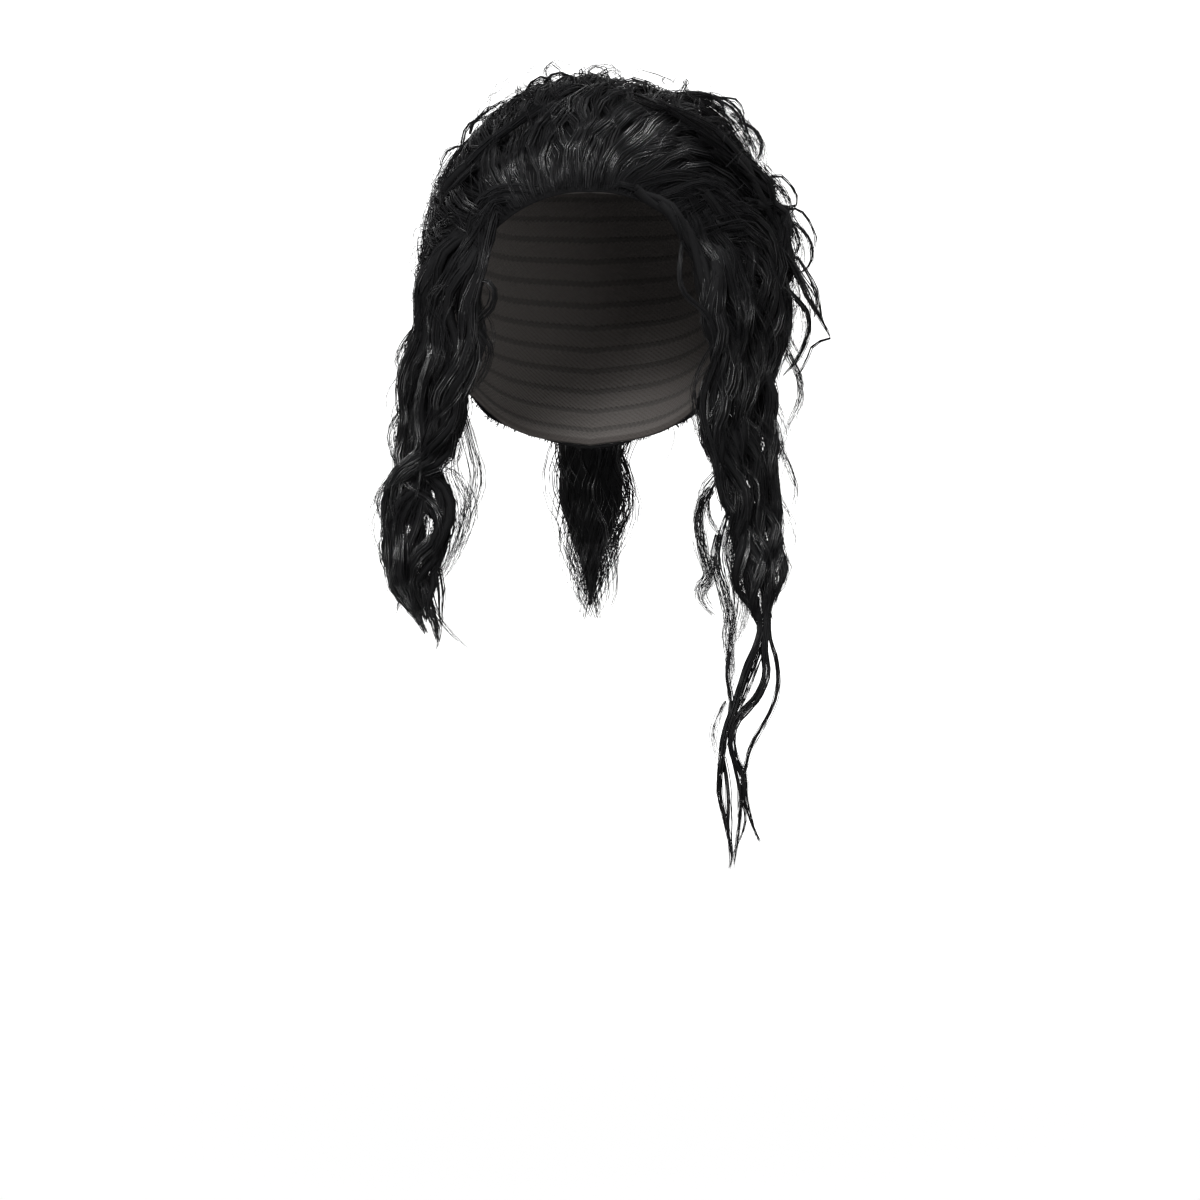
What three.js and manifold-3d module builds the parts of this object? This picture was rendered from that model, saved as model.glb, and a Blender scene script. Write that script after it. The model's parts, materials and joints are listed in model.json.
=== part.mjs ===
// Wavy black wig with a tied ponytail, built as the real one is: a thin stretch cap, hair swept back
// round it in locks, a loose wavy lock at each temple, and a tied tail behind.
// Millimetres. +Z is up and the face looks along -Y. The origin is the top of the cap's hollow,
// where the crown of the head rests.

import * as THREE from 'three';
import { mergeVertices } from 'three/addons/utils/BufferGeometryUtils.js';
import Module from 'manifold-3d';

const wasm = await Module();
wasm.setup();

const { degToRad, radToDeg, lerp, smoothstep } = THREE.MathUtils;
const vec = (x, y, z) => new THREE.Vector3(x, y, z);

// Driving dimensions: half sizes of the head that the cap fits and of the swept-back hair round it,
// with the powers of their outlines seen from above and from the front. The hair is fuller on the right.
const HEAD = {
  left: 76,
  right: 76,
  halfLength: 97,
  halfHeight: 98,
  plan: 2,
  riseLeft: 2,
  riseRight: 2,
};
const HAIR = {
  left: 84,
  right: 97,
  halfLength: 112,
  halfHeight: 115,
  plan: 2.1,
  riseLeft: 2.15,
  riseRight: 2.6,
};
const SIDE_BLEND = 0.5; // share of the half width over which one side's outline turns into the other's
const HEAD_CENTRE = vec(0, 0, -HEAD.halfHeight);
const CAP_WALL = 2;
const GAP = 0.4; // between pieces that touch
const HAIR_BASE = CAP_WALL + 1.4; // underside of the hair, clear of the cap's flat facets

// Edge of the cap: degrees round the head from the middle of the forehead, and degrees down from
// the crown. Both sides are alike.
const RIM = [
  { round: 0, down: 62 }, // middle of the hairline
  { round: 20, down: 64 },
  { round: 32, down: 71 },
  { round: 40, down: 80 }, // corner of the forehead
  { round: 50, down: 93 },
  { round: 62, down: 106 }, // tab before the ear
  { round: 75, down: 102 },
  { round: 90, down: 98 }, // over the ear
  { round: 110, down: 108 },
  { round: 140, down: 126 },
  { round: 180, down: 132 }, // nape
];

// Swept-back hair: it is thin at the cap's edge, deep over the crown and close at the nape, and
// runs in locks that fan from the face and meet at the tie
const EDGE = { depth: 3, rise: 19 }; // degrees from the edge to the full depth
const NAPE = { depth: 9, from: 78, to: 116 }; // degrees down
// Wave is in degrees round the tie, and shift is the turn of the wave from a lock to the next, in radians
const SWEEP = { locks: 30, groove: 0.3, wave: 5, waves: 3, shift: 2 };
// Edge of the swept-back hair as seen from the tie: degrees turned from straight up, degrees away
const HAIR_EDGE = [
  { turn: 0, away: 146 }, // middle of the hairline
  { turn: 24, away: 144.5 },
  { turn: 48, away: 141 },
  { turn: 72, away: 135.5 },
  { turn: 84, away: 131 }, // temple
  { turn: 92, away: 123 },
  { turn: 98, away: 108 },
  { turn: 104, away: 90 }, // over the ear
  { turn: 110, away: 76 },
  { turn: 120, away: 64.5 },
  { turn: 138, away: 58 },
  { turn: 150, away: 51 },
  { turn: 165, away: 48 },
  { turn: 180, away: 48 }, // nape
];
const TIE = {
  round: 180,
  down: 84,
  gather: 26, // degrees round the tie in which the hair closes up
  hairLift: 17,
  tailLift: 18,
  ringLift: 25,
  neckLift: 31, // where the tail's neck ends
};

// Sections of each sidelock from the temple down. Drop is below the crown, side from the middle of
// the face, fore is forward of the ears, and facing is the way it faces, in degrees from the front.
const SHORT_SIDELOCK = {
  turn: -1,
  twist: 150, // degrees from top to tip
  sections: [
    { drop: 22, side: 57, fore: 50, halfWidth: 3, halfDepth: 2, facing: 48 },
    { drop: 34, side: 64, fore: 55, halfWidth: 12, halfDepth: 4.5, facing: 48 },
    { drop: 50, side: 69, fore: 59, halfWidth: 18, halfDepth: 6, facing: 49 },
    { drop: 68, side: 73, fore: 61, halfWidth: 22, halfDepth: 7, facing: 50 },
    { drop: 86, side: 75, fore: 60, halfWidth: 24, halfDepth: 7.5, facing: 50 },
    { drop: 104, side: 76, fore: 58, halfWidth: 24, halfDepth: 8.5, facing: 50 },
    { drop: 128, side: 77, fore: 55, halfWidth: 21, halfDepth: 9, facing: 47 },
    { drop: 152, side: 78, fore: 51, halfWidth: 18, halfDepth: 9, facing: 42 },
    { drop: 172, side: 82, fore: 48, halfWidth: 16, halfDepth: 9, facing: 36 },
    { drop: 193, side: 85, fore: 47, halfWidth: 20, halfDepth: 10, facing: 30 },
    { drop: 218, side: 86, fore: 47, halfWidth: 17, halfDepth: 9, facing: 26 },
    { drop: 240, side: 84, fore: 48, halfWidth: 12, halfDepth: 7.5, facing: 24 },
    { drop: 257, side: 79, fore: 49, halfWidth: 7, halfDepth: 5, facing: 22 },
    { drop: 272, side: 73, fore: 50, halfWidth: 1, halfDepth: 1, facing: 20 },
  ],
};
const LONG_SIDELOCK = {
  turn: 1,
  twist: -150,
  sections: [
    { drop: 14, side: 64, fore: 51, halfWidth: 3, halfDepth: 2, facing: 46 },
    { drop: 28, side: 71, fore: 58, halfWidth: 13, halfDepth: 4.5, facing: 47 },
    { drop: 46, side: 77, fore: 63, halfWidth: 20, halfDepth: 6, facing: 48 },
    { drop: 66, side: 79, fore: 63, halfWidth: 24, halfDepth: 7, facing: 48 },
    { drop: 84, side: 80, fore: 61, halfWidth: 26, halfDepth: 8, facing: 48 },
    { drop: 104, side: 81, fore: 58, halfWidth: 26, halfDepth: 8.5, facing: 48 },
    { drop: 128, side: 79, fore: 54, halfWidth: 23, halfDepth: 9, facing: 46 },
    { drop: 152, side: 78, fore: 51, halfWidth: 20, halfDepth: 9, facing: 40 },
    { drop: 174, side: 82, fore: 50, halfWidth: 16, halfDepth: 9, facing: 34 },
    { drop: 198, side: 86, fore: 51, halfWidth: 18, halfDepth: 10, facing: 28 },
    { drop: 222, side: 87, fore: 54, halfWidth: 16, halfDepth: 9, facing: 24 },
    { drop: 244, side: 87, fore: 57, halfWidth: 11, halfDepth: 8, facing: 22 },
    { drop: 262, side: 86, fore: 60, halfWidth: 6, halfDepth: 5, facing: 20 },
    { drop: 280, side: 83, fore: 62, halfWidth: 1, halfDepth: 1, facing: 20 },
  ],
};
const LOBE = { sides: 4, groove: 0.22 }; // facets and depth of each lock on a sidelock or the tail
const SIDELOCK_LOBES = 5;

// Curls that leave the sidelocks, by the rows of their lines
const SHORT_CURLS = [
  {
    halfWidth: 3, // fine hair beside the jaw
    line: [
      { drop: 140, side: 64, fore: 60 },
      { drop: 163, side: 56, fore: 62 },
      { drop: 186, side: 55, fore: 61 },
      { drop: 204, side: 58, fore: 58 },
      { drop: 226, side: 72, fore: 53 },
      { drop: 242, side: 79, fore: 50 },
    ],
  },
];
const LONG_CURLS = [
  {
    halfWidth: 3.6, // arc outside the temple
    line: [
      { drop: 78, side: 90, fore: 50 },
      { drop: 100, side: 99, fore: 43 },
      { drop: 118, side: 105, fore: 40 },
      { drop: 132, side: 102, fore: 41 },
      { drop: 148, side: 90, fore: 46 },
    ],
  },
  {
    halfWidth: 3.2, // flick beyond it
    line: [
      { drop: 84, side: 88, fore: 50 },
      { drop: 95, side: 101, fore: 40 },
      { drop: 108, side: 110, fore: 32 },
      { drop: 121, side: 117, fore: 32 },
    ],
  },
  {
    halfWidth: 3.4, // fine hair beside the jaw
    line: [
      { drop: 168, side: 74, fore: 56 },
      { drop: 190, side: 62, fore: 60 },
      { drop: 204, side: 58, fore: 61 },
      { drop: 220, side: 65, fore: 60 },
      { drop: 240, side: 66, fore: 61 },
      { drop: 262, side: 71, fore: 62 },
      { drop: 284, side: 75, fore: 63 },
    ],
  },
  {
    halfWidth: 3, // inner strand of the split tail
    line: [
      { drop: 250, side: 86, fore: 58 },
      { drop: 288, side: 73, fore: 64 },
      { drop: 322, side: 66, fore: 66 },
      { drop: 344, side: 64, fore: 66 },
      { drop: 374, side: 68, fore: 65 },
    ],
  },
  {
    halfWidth: 3.2, // middle strand
    line: [
      { drop: 250, side: 87, fore: 58 },
      { drop: 284, side: 83, fore: 63 },
      { drop: 304, side: 74, fore: 65 },
      { drop: 324, side: 71, fore: 65 },
      { drop: 347, side: 74, fore: 65 },
      { drop: 372, side: 69, fore: 65 },
    ],
  },
  {
    halfWidth: 2.4, // outer strand
    line: [
      { drop: 252, side: 88, fore: 58 },
      { drop: 288, side: 91, fore: 62 },
      { drop: 312, side: 84, fore: 64 },
      { drop: 336, side: 77, fore: 64 },
      { drop: 348, side: 77, fore: 64 },
      { drop: 360, side: 81, fore: 63 },
    ],
  },
];
const TENDRIL = {
  halfWidth: 3, // curl that hangs beside the face
  line: [
    { drop: 72, side: 55, fore: 76 },
    { drop: 82, side: 49, fore: 81 },
    { drop: 95, side: 45, fore: 83 },
    { drop: 110, side: 51, fore: 81 },
    { drop: 126, side: 60, fore: 78 },
    { drop: 142, side: 56, fore: 77 },
    { drop: 157, side: 50, fore: 76 },
    { drop: 171, side: 53, fore: 74 },
    { drop: 186, side: 60, fore: 72 },
    { drop: 206, side: 63, fore: 71 },
  ],
};

// Ponytail: sections along the middle plane behind the head, from the tie down
const TAIL = {
  lobes: 6,
  twist: 120,
  sections: [
    { drop: 87, back: 139, halfWidth: 17, halfDepth: 14 },
    { drop: 108, back: 147, halfWidth: 25, halfDepth: 18 },
    { drop: 140, back: 148, halfWidth: 29, halfDepth: 20 },
    { drop: 165, back: 144, halfWidth: 26, halfDepth: 18 },
    { drop: 190, back: 141, halfWidth: 28, halfDepth: 19 },
    { drop: 222, back: 137, halfWidth: 21, halfDepth: 14 },
    { drop: 246, back: 135, halfWidth: 12, halfDepth: 8 },
    { drop: 264, back: 134, halfWidth: 1, halfDepth: 1 },
  ],
};
const TIE_RING = { neckRadius: 13.5, thickness: 8 };
const CURL_TAPER = { root: 0.75, tip: 0.45 }; // shares of a curl's half width at its ends

// Facets
const CAP_FACETS = { columns: 40, rows: 9 };
const SWEEP_FACETS = { perLock: 3, rows: 12 };
const SECTION_STEP = 10; // mm of a sidelock or the tail to a ring of facets
const CURL_FACETS = { sides: 6, step: 11 };
const TIE_FACETS = { sides: 8, turns: 22 };
const WELD = 1e-3; // points this close are one

// Materials
const HAIR_MATERIAL = new THREE.MeshStandardMaterial({ color: 0x141416, roughness: 0.4, metalness: 0 });
const CAP_MATERIAL = new THREE.MeshStandardMaterial({ color: 0x1d1b1a, roughness: 0.9, metalness: 0 });
const TIE_MATERIAL = new THREE.MeshStandardMaterial({ color: 0x101011, roughness: 0.8, metalness: 0 });

// Value of a column at a place in a table whose rows rise in the column named by key
function readTable(rows, key, at, column) {
  const last = rows.length - 1;
  const place = THREE.MathUtils.clamp(at, rows[0][key], rows[last][key]);
  const after = Math.max(1, rows.findIndex((row) => row[key] >= place));
  const [a, b] = [rows[after - 1], rows[after]];
  return lerp(a[column], b[column], smoothstep(place, a[key], b[key]));
}

const rimDown = (round) => readTable(RIM, 'round', Math.abs(round), 'down');

// Unit direction from the head's centre, by degrees round from the forehead and down from the crown
function direction(round, down) {
  const [r, d] = [degToRad(round), degToRad(down)];
  return vec(Math.sin(d) * Math.sin(r), -Math.sin(d) * Math.cos(r), Math.cos(d));
}

// Degrees from a direction up to the cap's edge, negative beyond it
function insideEdge(way) {
  const round = radToDeg(Math.atan2(way.x, -way.y));
  return rimDown(round) - radToDeg(Math.acos(way.z));
}

// Unit direction by degrees round the tie from straight up, and degrees away from the tie
const TIE_WAY = direction(TIE.round, TIE.down);
const TIE_UP = vec(0, 0, 1).addScaledVector(TIE_WAY, -TIE_WAY.z).normalize();
function aboutTie(round, away) {
  const [r, a] = [degToRad(round), degToRad(away)];
  return TIE_WAY.clone()
    .multiplyScalar(Math.cos(a))
    .addScaledVector(TIE_UP, Math.sin(a) * Math.cos(r))
    .add(vec(Math.sin(a) * Math.sin(r), 0, 0));
}

const edgeAway = (round) => readTable(HAIR_EDGE, 'turn', Math.abs(round), 'away');

// Distance from the head's centre to a form's surface
function formRadius(form, way) {
  const halfWidth = way.x < 0 ? form.left : form.right;
  const across = Math.abs(way.x / halfWidth) ** form.plan;
  const ahead = Math.abs(way.y / form.halfLength) ** form.plan;
  const rise = lerp(form.riseLeft, form.riseRight, smoothstep(way.x, -SIDE_BLEND, SIDE_BLEND));
  const up = Math.abs(way.z / form.halfHeight) ** rise;
  return ((across + ahead) ** (rise / form.plan) + up) ** (-1 / rise);
}

// Point at a height over the head
function overHead(way, lift) {
  return way.clone().multiplyScalar(formRadius(HEAD, way) + lift).add(HEAD_CENTRE);
}

// Depth of the swept-back hair over the cap
function hairDepth(way) {
  const down = radToDeg(Math.acos(way.z));
  const full = formRadius(HAIR, way) - formRadius(HEAD, way) - HAIR_BASE;
  const deep = lerp(full, NAPE.depth, smoothstep(down, NAPE.from, NAPE.to));
  return lerp(EDGE.depth, deep, smoothstep(insideEdge(way), 0, EDGE.rise));
}

// Closed solid from a geometry whose surface is closed
function solidOf(geometry) {
  const bare = new THREE.BufferGeometry();
  bare.setAttribute('position', geometry.getAttribute('position'));
  bare.setIndex(geometry.index);
  const merged = mergeVertices(bare, WELD);
  const triVerts = [];
  for (let i = 0; i < merged.index.count; i += 3) {
    const [a, b, c] = merged.index.array.subarray(i, i + 3);
    if (a !== b && b !== c && c !== a) triVerts.push(a, b, c);
  }
  const vertProperties = merged.attributes.position.array;
  const mesh = new wasm.Mesh({ numProp: 3, vertProperties, triVerts: new Uint32Array(triVerts) });
  return new wasm.Manifold(mesh);
}

// Named mesh of a solid
function meshOf(name, solid, material) {
  const { vertProperties, triVerts } = solid.getMesh();
  const geometry = new THREE.BufferGeometry();
  geometry.setAttribute('position', new THREE.BufferAttribute(vertProperties, 3));
  geometry.setIndex(new THREE.BufferAttribute(triVerts, 1));
  geometry.computeVertexNormals();
  const mesh = new THREE.Mesh(geometry, material);
  mesh.name = name;
  return mesh;
}

const join = (solids) => solids.reduce((whole, solid) => whole.add(solid));

// Wall round the head from a pole to the cap's edge. wayAt gives the direction at a column and a
// share of the way to the edge, and the lifts give the wall's two faces.
function wallSolid(columns, rows, wayAt, innerLift, outerLift) {
  const profile = [];
  for (let i = 0; i <= rows; i++) profile.push({ share: i / rows, lift: innerLift });
  for (let i = rows; i >= 0; i--) profile.push({ share: i / rows, lift: outerLift });
  const outline = profile.map(({ share }) => new THREE.Vector2(share, 0));
  const geometry = new THREE.LatheGeometry(outline, columns);
  const place = geometry.getAttribute('position');
  for (let i = 0; i < place.count; i++) {
    const { share, lift } = profile[i % profile.length];
    const column = Math.floor(i / profile.length) % columns;
    const way = wayAt(column, share);
    place.setXYZ(i, ...overHead(way, lift(way, column, share)).toArray());
  }
  return solidOf(geometry);
}

// Solid along a path, made from a ball by moving its rings: pointAt gives a point by the share of
// the way along and the place round the ring
function ringSolid(sides, steps, pointAt) {
  const ball = new THREE.SphereGeometry(1, sides, steps);
  const place = ball.getAttribute('position');
  for (let i = 0; i < place.count; i++) {
    const along = Math.floor(i / (sides + 1)) / steps;
    place.setXYZ(i, ...pointAt(along, i % (sides + 1) % sides).toArray());
  }
  const solid = solidOf(ball);
  if (solid.volume() > 0) return solid;
  ball.setIndex([...ball.index.array].reverse());
  return solidOf(ball);
}

// Lobed solid through a table of sections: every section is an oval of twisted locks
function lobedSolid(sections, key, lobes, twist, centreAt, axesAt) {
  const [first, last] = [sections[0][key], sections[sections.length - 1][key]];
  const sides = lobes * LOBE.sides;
  const steps = Math.round(Math.abs(last - first) / SECTION_STEP);
  return ringSolid(sides, steps, (along, corner) => {
    const at = lerp(first, last, along);
    const point = centreAt(along, at);
    if (along === 0 || along === 1) return point;
    const [across, out] = axesAt(along, at);
    const angle = (2 * Math.PI * corner) / sides + degToRad(twist * along);
    const size = corner % LOBE.sides ? 1 : 1 - LOBE.groove;
    const read = (column) => size * readTable(sections, key, at, column);
    point.addScaledVector(across, read('halfWidth') * Math.cos(angle));
    return point.addScaledVector(out, read('halfDepth') * Math.sin(angle));
  });
}

// Place below the crown, beside the middle of the face and forward of the ears
const hang = ({ drop, side, fore }, turn) => vec(turn * side, -fore, -drop);

function sidelockBody({ turn, twist, sections }) {
  const read = (at, column) => readTable(sections, 'drop', at, column);
  const centreAt = (along, drop) =>
    hang({ drop, side: read(drop, 'side'), fore: read(drop, 'fore') }, turn);
  const axesAt = (along, drop) => {
    const facing = degToRad(turn * read(drop, 'facing'));
    const across = vec(Math.cos(facing), Math.sin(facing), 0);
    return [across, vec(Math.sin(facing), -Math.cos(facing), 0)];
  };
  return lobedSolid(sections, 'drop', SIDELOCK_LOBES, twist, centreAt, axesAt);
}

// Single curl through the rows of its line, thin at both ends
function curlSolid({ halfWidth, line }, turn) {
  const path = new THREE.CatmullRomCurve3(line.map((row) => hang(row, turn)));
  const steps = Math.round(path.getLength() / CURL_FACETS.step);
  return ringSolid(CURL_FACETS.sides, steps, (along, corner) => {
    const point = path.getPointAt(along);
    if (along === 0 || along === 1) return point;
    const tangent = path.getTangentAt(along);
    const across = vec(0, 0, 0).crossVectors(tangent, vec(0, 1, 0)).normalize();
    const out = vec(0, 0, 0).crossVectors(across, tangent);
    const angle = (2 * Math.PI * corner) / CURL_FACETS.sides;
    const swell = lerp(CURL_TAPER.root, 1, Math.sin(Math.PI * along));
    const half = halfWidth * swell * lerp(1, CURL_TAPER.tip, along ** 3);
    point.addScaledVector(across, half * Math.cos(angle));
    return point.addScaledVector(out, half * Math.sin(angle));
  });
}

function sidelockSolid(sidelock, curls, roomFor) {
  const body = sidelockBody(sidelock);
  const loose = curls.map((row) => curlSolid(row, sidelock.turn));
  return join([body, ...loose]).subtract(roomFor);
}

function capSolid(innerLift, outerLift) {
  const { columns, rows } = CAP_FACETS;
  const wayAt = (column, share) => {
    const round = (360 * column) / columns - 180;
    return direction(round, share * rimDown(round));
  };
  return wallSolid(columns, rows, wayAt, () => innerLift, () => outerLift);
}

// Swept-back hair, with a margin added all round to clear its neighbours
function crownSolid(margin) {
  const columns = SWEEP.locks * SWEEP_FACETS.perLock;
  const wayAt = (column, share) => {
    const round = (360 * column) / columns - 180;
    const away = share * edgeAway(round);
    const lock = Math.floor(column / SWEEP_FACETS.perLock);
    const sway = Math.sin(2 * Math.PI * SWEEP.waves * share + SWEEP.shift * lock);
    return aboutTie(round + SWEEP.wave * sway * Math.sin(Math.PI * share), away);
  };
  const outerLift = (way, column, share) => {
    const crest = column % SWEEP_FACETS.perLock ? 1 : 1 - SWEEP.groove;
    const away = radToDeg(way.angleTo(TIE_WAY));
    const gathered = 1 - smoothstep(away, 0, TIE.gather);
    const lift = lerp(HAIR_BASE + crest * hairDepth(way), TIE.hairLift, gathered);
    return lift + margin;
  };
  return wallSolid(columns, SWEEP_FACETS.rows, wayAt, () => HAIR_BASE - margin, outerLift);
}

function tieSolid() {
  const ring = TIE_RING.neckRadius + TIE_RING.thickness / 2;
  const geometry = new THREE.TorusGeometry(ring, TIE_RING.thickness / 2, TIE_FACETS.sides, TIE_FACETS.turns);
  const turn = new THREE.Quaternion().setFromUnitVectors(vec(0, 0, 1), TIE_WAY);
  geometry.applyQuaternion(turn).translate(...overHead(TIE_WAY, TIE.ringLift).toArray());
  return solidOf(geometry);
}

// Tied tail: its neck runs straight out through the ring, and then it falls
function tailSolid() {
  const neckLifts = [TIE.tailLift, TIE.ringLift, TIE.neckLift];
  const neck = neckLifts.map((lift) => overHead(TIE_WAY, lift));
  const fall = TAIL.sections.map(({ drop, back }) => vec(0, back, -drop));
  const spine = new THREE.CatmullRomCurve3([...neck, ...fall]);
  const neckHalf = TIE_RING.neckRadius - GAP;
  const lengthTo = (count) => new THREE.CatmullRomCurve3([...neck, ...fall].slice(0, count)).getLength();
  const rows = [
    { run: 0, halfWidth: neckHalf, halfDepth: neckHalf },
    { run: lengthTo(neck.length), halfWidth: neckHalf, halfDepth: neckHalf },
    ...TAIL.sections.map(({ halfWidth, halfDepth }, i) => ({
      run: lengthTo(neck.length + i + 1),
      halfWidth,
      halfDepth,
    })),
  ];
  const axesAt = (along) => {
    const tangent = spine.getTangentAt(along);
    return [vec(1, 0, 0), vec(0, 0, 0).crossVectors(vec(1, 0, 0), tangent)];
  };
  return lobedSolid(rows, 'run', TAIL.lobes, TAIL.twist, (along) => spine.getPointAt(along), axesAt);
}

const cap = capSolid(0, CAP_WALL);
const crown = crownSolid(0);
const tendril = curlSolid(TENDRIL, LONG_SIDELOCK.turn);
const headRoom = join([crown, crownSolid(GAP), capSolid(-GAP, HAIR_BASE)]);

const wig = new THREE.Group();
wig.add(
  meshOf('wig_cap', cap, CAP_MATERIAL),
  meshOf('crown_hair', crown, HAIR_MATERIAL),
  meshOf('short_sidelock', sidelockSolid(SHORT_SIDELOCK, SHORT_CURLS, headRoom), HAIR_MATERIAL),
  meshOf('long_sidelock', sidelockSolid(LONG_SIDELOCK, LONG_CURLS, headRoom), HAIR_MATERIAL),
  meshOf('temple_tendril', tendril.subtract(headRoom), HAIR_MATERIAL),
  meshOf('hair_tie', tieSolid(), TIE_MATERIAL),
  meshOf('ponytail', tailSolid(), HAIR_MATERIAL),
);

export default wig;
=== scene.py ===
"""Looks of a wavy black wig with a tied ponytail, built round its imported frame."""

import json
import logging
import math
from dataclasses import dataclass, field, replace
from enum import Enum
from typing import Callable, Sequence, Union

import bpy
import numpy as np
from bpy.types import Material, Mesh, Node, NodeSocket, NodeTree, Object
from mathutils import Matrix, Vector

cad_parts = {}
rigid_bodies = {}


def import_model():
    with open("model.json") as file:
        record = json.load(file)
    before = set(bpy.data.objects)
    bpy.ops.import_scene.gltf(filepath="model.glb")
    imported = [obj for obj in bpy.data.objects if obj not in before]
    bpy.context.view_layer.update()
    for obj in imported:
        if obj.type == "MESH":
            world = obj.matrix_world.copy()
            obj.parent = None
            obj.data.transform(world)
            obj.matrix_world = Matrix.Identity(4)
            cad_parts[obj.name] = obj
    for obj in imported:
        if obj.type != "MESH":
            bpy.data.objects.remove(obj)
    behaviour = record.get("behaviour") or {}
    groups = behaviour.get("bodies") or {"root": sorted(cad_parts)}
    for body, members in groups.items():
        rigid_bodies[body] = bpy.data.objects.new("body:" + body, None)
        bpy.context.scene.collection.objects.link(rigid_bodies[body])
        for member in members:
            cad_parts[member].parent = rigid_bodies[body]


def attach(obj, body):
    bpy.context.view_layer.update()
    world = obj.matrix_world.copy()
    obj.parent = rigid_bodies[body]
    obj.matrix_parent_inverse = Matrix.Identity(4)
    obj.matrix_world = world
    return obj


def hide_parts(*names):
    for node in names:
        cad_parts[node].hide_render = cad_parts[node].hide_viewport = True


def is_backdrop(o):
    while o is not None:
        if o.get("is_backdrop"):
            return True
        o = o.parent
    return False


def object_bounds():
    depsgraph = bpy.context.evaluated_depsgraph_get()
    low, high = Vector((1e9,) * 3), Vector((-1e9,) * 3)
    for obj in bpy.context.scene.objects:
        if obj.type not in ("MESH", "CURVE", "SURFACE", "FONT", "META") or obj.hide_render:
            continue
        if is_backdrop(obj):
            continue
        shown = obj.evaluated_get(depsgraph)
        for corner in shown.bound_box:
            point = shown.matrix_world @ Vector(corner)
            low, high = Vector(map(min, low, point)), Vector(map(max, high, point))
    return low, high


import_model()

log = logging.getLogger("wig")
CAD_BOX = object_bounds()
MM = 0.001  # sizes are in mm and angles in degrees, unless a class says otherwise
SEED = 11
TAU = 2 * math.pi
GOLDEN_TURN = 2.39996  # radians from a numbered lock to the next, which spreads them over an oval
ACROSS = (1.0, 0.0, 0.0)
FORWARD = (0.0, -1.0, 0.0)
UP = (0.0, 0.0, 1.0)
WHITE = (1.0, 1.0, 1.0, 1.0)
WALL_MAP = "shares"  # UV map of a wall: its share round the head and its share down to the edge
SEAM = 0.5  # a face of a wall that spans more of the map than this lies across its seam
SPLINE_FINENESS = 12  # points that a spline is measured at, for each point that it passes
SPLINE_LEAST = 4  # points of the shortest spline
LEAST_SHINE = 0.2  # shine of the dullest lock of a piece, where the brightest has 1
SHINE_POWER = 1.8  # the higher, the fewer locks are bright
PLAIN_LAYERS = ("sharp_face", "sharp_edge", "material_index")  # what every plain mesh may keep
Array = np.ndarray
Dice = np.random.Generator
Span = tuple[float, float]
Place = tuple[float, float, float]
Colour = tuple[float, float, float, float]


class Slot(Enum):
    """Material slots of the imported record."""

    HAIR = "hair"
    CAP = "cap"
    TIE = "tie"


class Side(Enum):
    """Which side of the face a lock hangs on, as the sign of its X."""

    LEFT = -1
    RIGHT = 1


class Socket(Enum):
    """Kinds of input of a Geometry Nodes tree."""

    GEOMETRY = "NodeSocketGeometry"
    FLOAT = "NodeSocketFloat"
    INT = "NodeSocketInt"
    MATERIAL = "NodeSocketMaterial"


class Draw(Enum):
    """Random numbers that each strand draws, as steps of the seed."""

    ANGLE = 1
    SWIRL = 2
    REACH = 3
    SHIFT = 4
    END = 6
    START = 7
    TONE = 8
    WIDTH = 9


@dataclass(frozen=True)
class Knot:
    """One place on a line of hair: below the crown, beside the face and before the ears."""

    drop: float
    side: float
    fore: float


def path(*rows: Place) -> tuple[Knot, ...]:
    """Knots of a line, from rows of drop, side and fore."""
    return tuple(Knot(*row) for row in rows)


@dataclass(frozen=True)
class Row:
    """A row of a table by angle: the degrees that it is at, and the degrees that it gives."""

    at: float
    gives: float


@dataclass(frozen=True)
class LustreRow:
    """A smooth patch on the front of the hair that catches the light: its middle and half sizes."""

    side: float
    drop: float
    half_width: float
    half_height: float
    gloss: float


@dataclass(frozen=True)
class TailRow:
    """One oval section of the tail: below the crown, behind the ears, and its half sizes."""

    drop: float
    back: float
    half_width: float
    half_depth: float


def blend(low: Array, high: Array, share: Array) -> Array:
    """Value between two others, by a share of the way."""
    return low + (high - low) * share


def ease(value: Array, low: float, high: float) -> Array:
    """Smooth step of a value from 0 at low to 1 at high."""
    share = np.clip((np.asarray(value, float) - low) / (high - low), 0.0, 1.0)
    return share * share * (3.0 - 2.0 * share)


def unit(vectors: Array) -> Array:
    """Vectors scaled to length 1."""
    return vectors / np.maximum(np.linalg.norm(vectors, axis=-1, keepdims=True), 1e-9)


def full_turn(share: Array) -> Array:
    """Degrees from -180 to 180, by shares of a turn."""
    return 360.0 * share - 180.0


def beat(run: Array, length: Span, dice: Dice, start: float = TAU) -> Array:
    """Angle in radians, at distances along a line, of a wave of random length and start."""
    return TAU * run / dice.uniform(*length) + dice.uniform(0, start)


def between(keys: Array, places: Array) -> Array:
    """Numbers of the keys that places come after."""
    return np.clip(np.searchsorted(keys, places, side="right") - 1, 0, len(keys) - 2)


def bow(t: Array, span: Array, ends: tuple[Array, Array], slopes: tuple[Array, Array]) -> Array:
    """Smooth curve from one place to the next.

    Args:
        t: shares of the way.
        span: the distance between the places.
        ends: the values at the two places.
        slopes: the slopes at the two places.

    Returns:
        The values on the curve.
    """
    from_low = (2 * t**3 - 3 * t**2 + 1) * ends[0] + (t**3 - 2 * t**2 + t) * span * slopes[0]
    from_high = (3 * t**2 - 2 * t**3) * ends[1] + (t**3 - t**2) * span * slopes[1]
    return from_low + from_high


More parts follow.
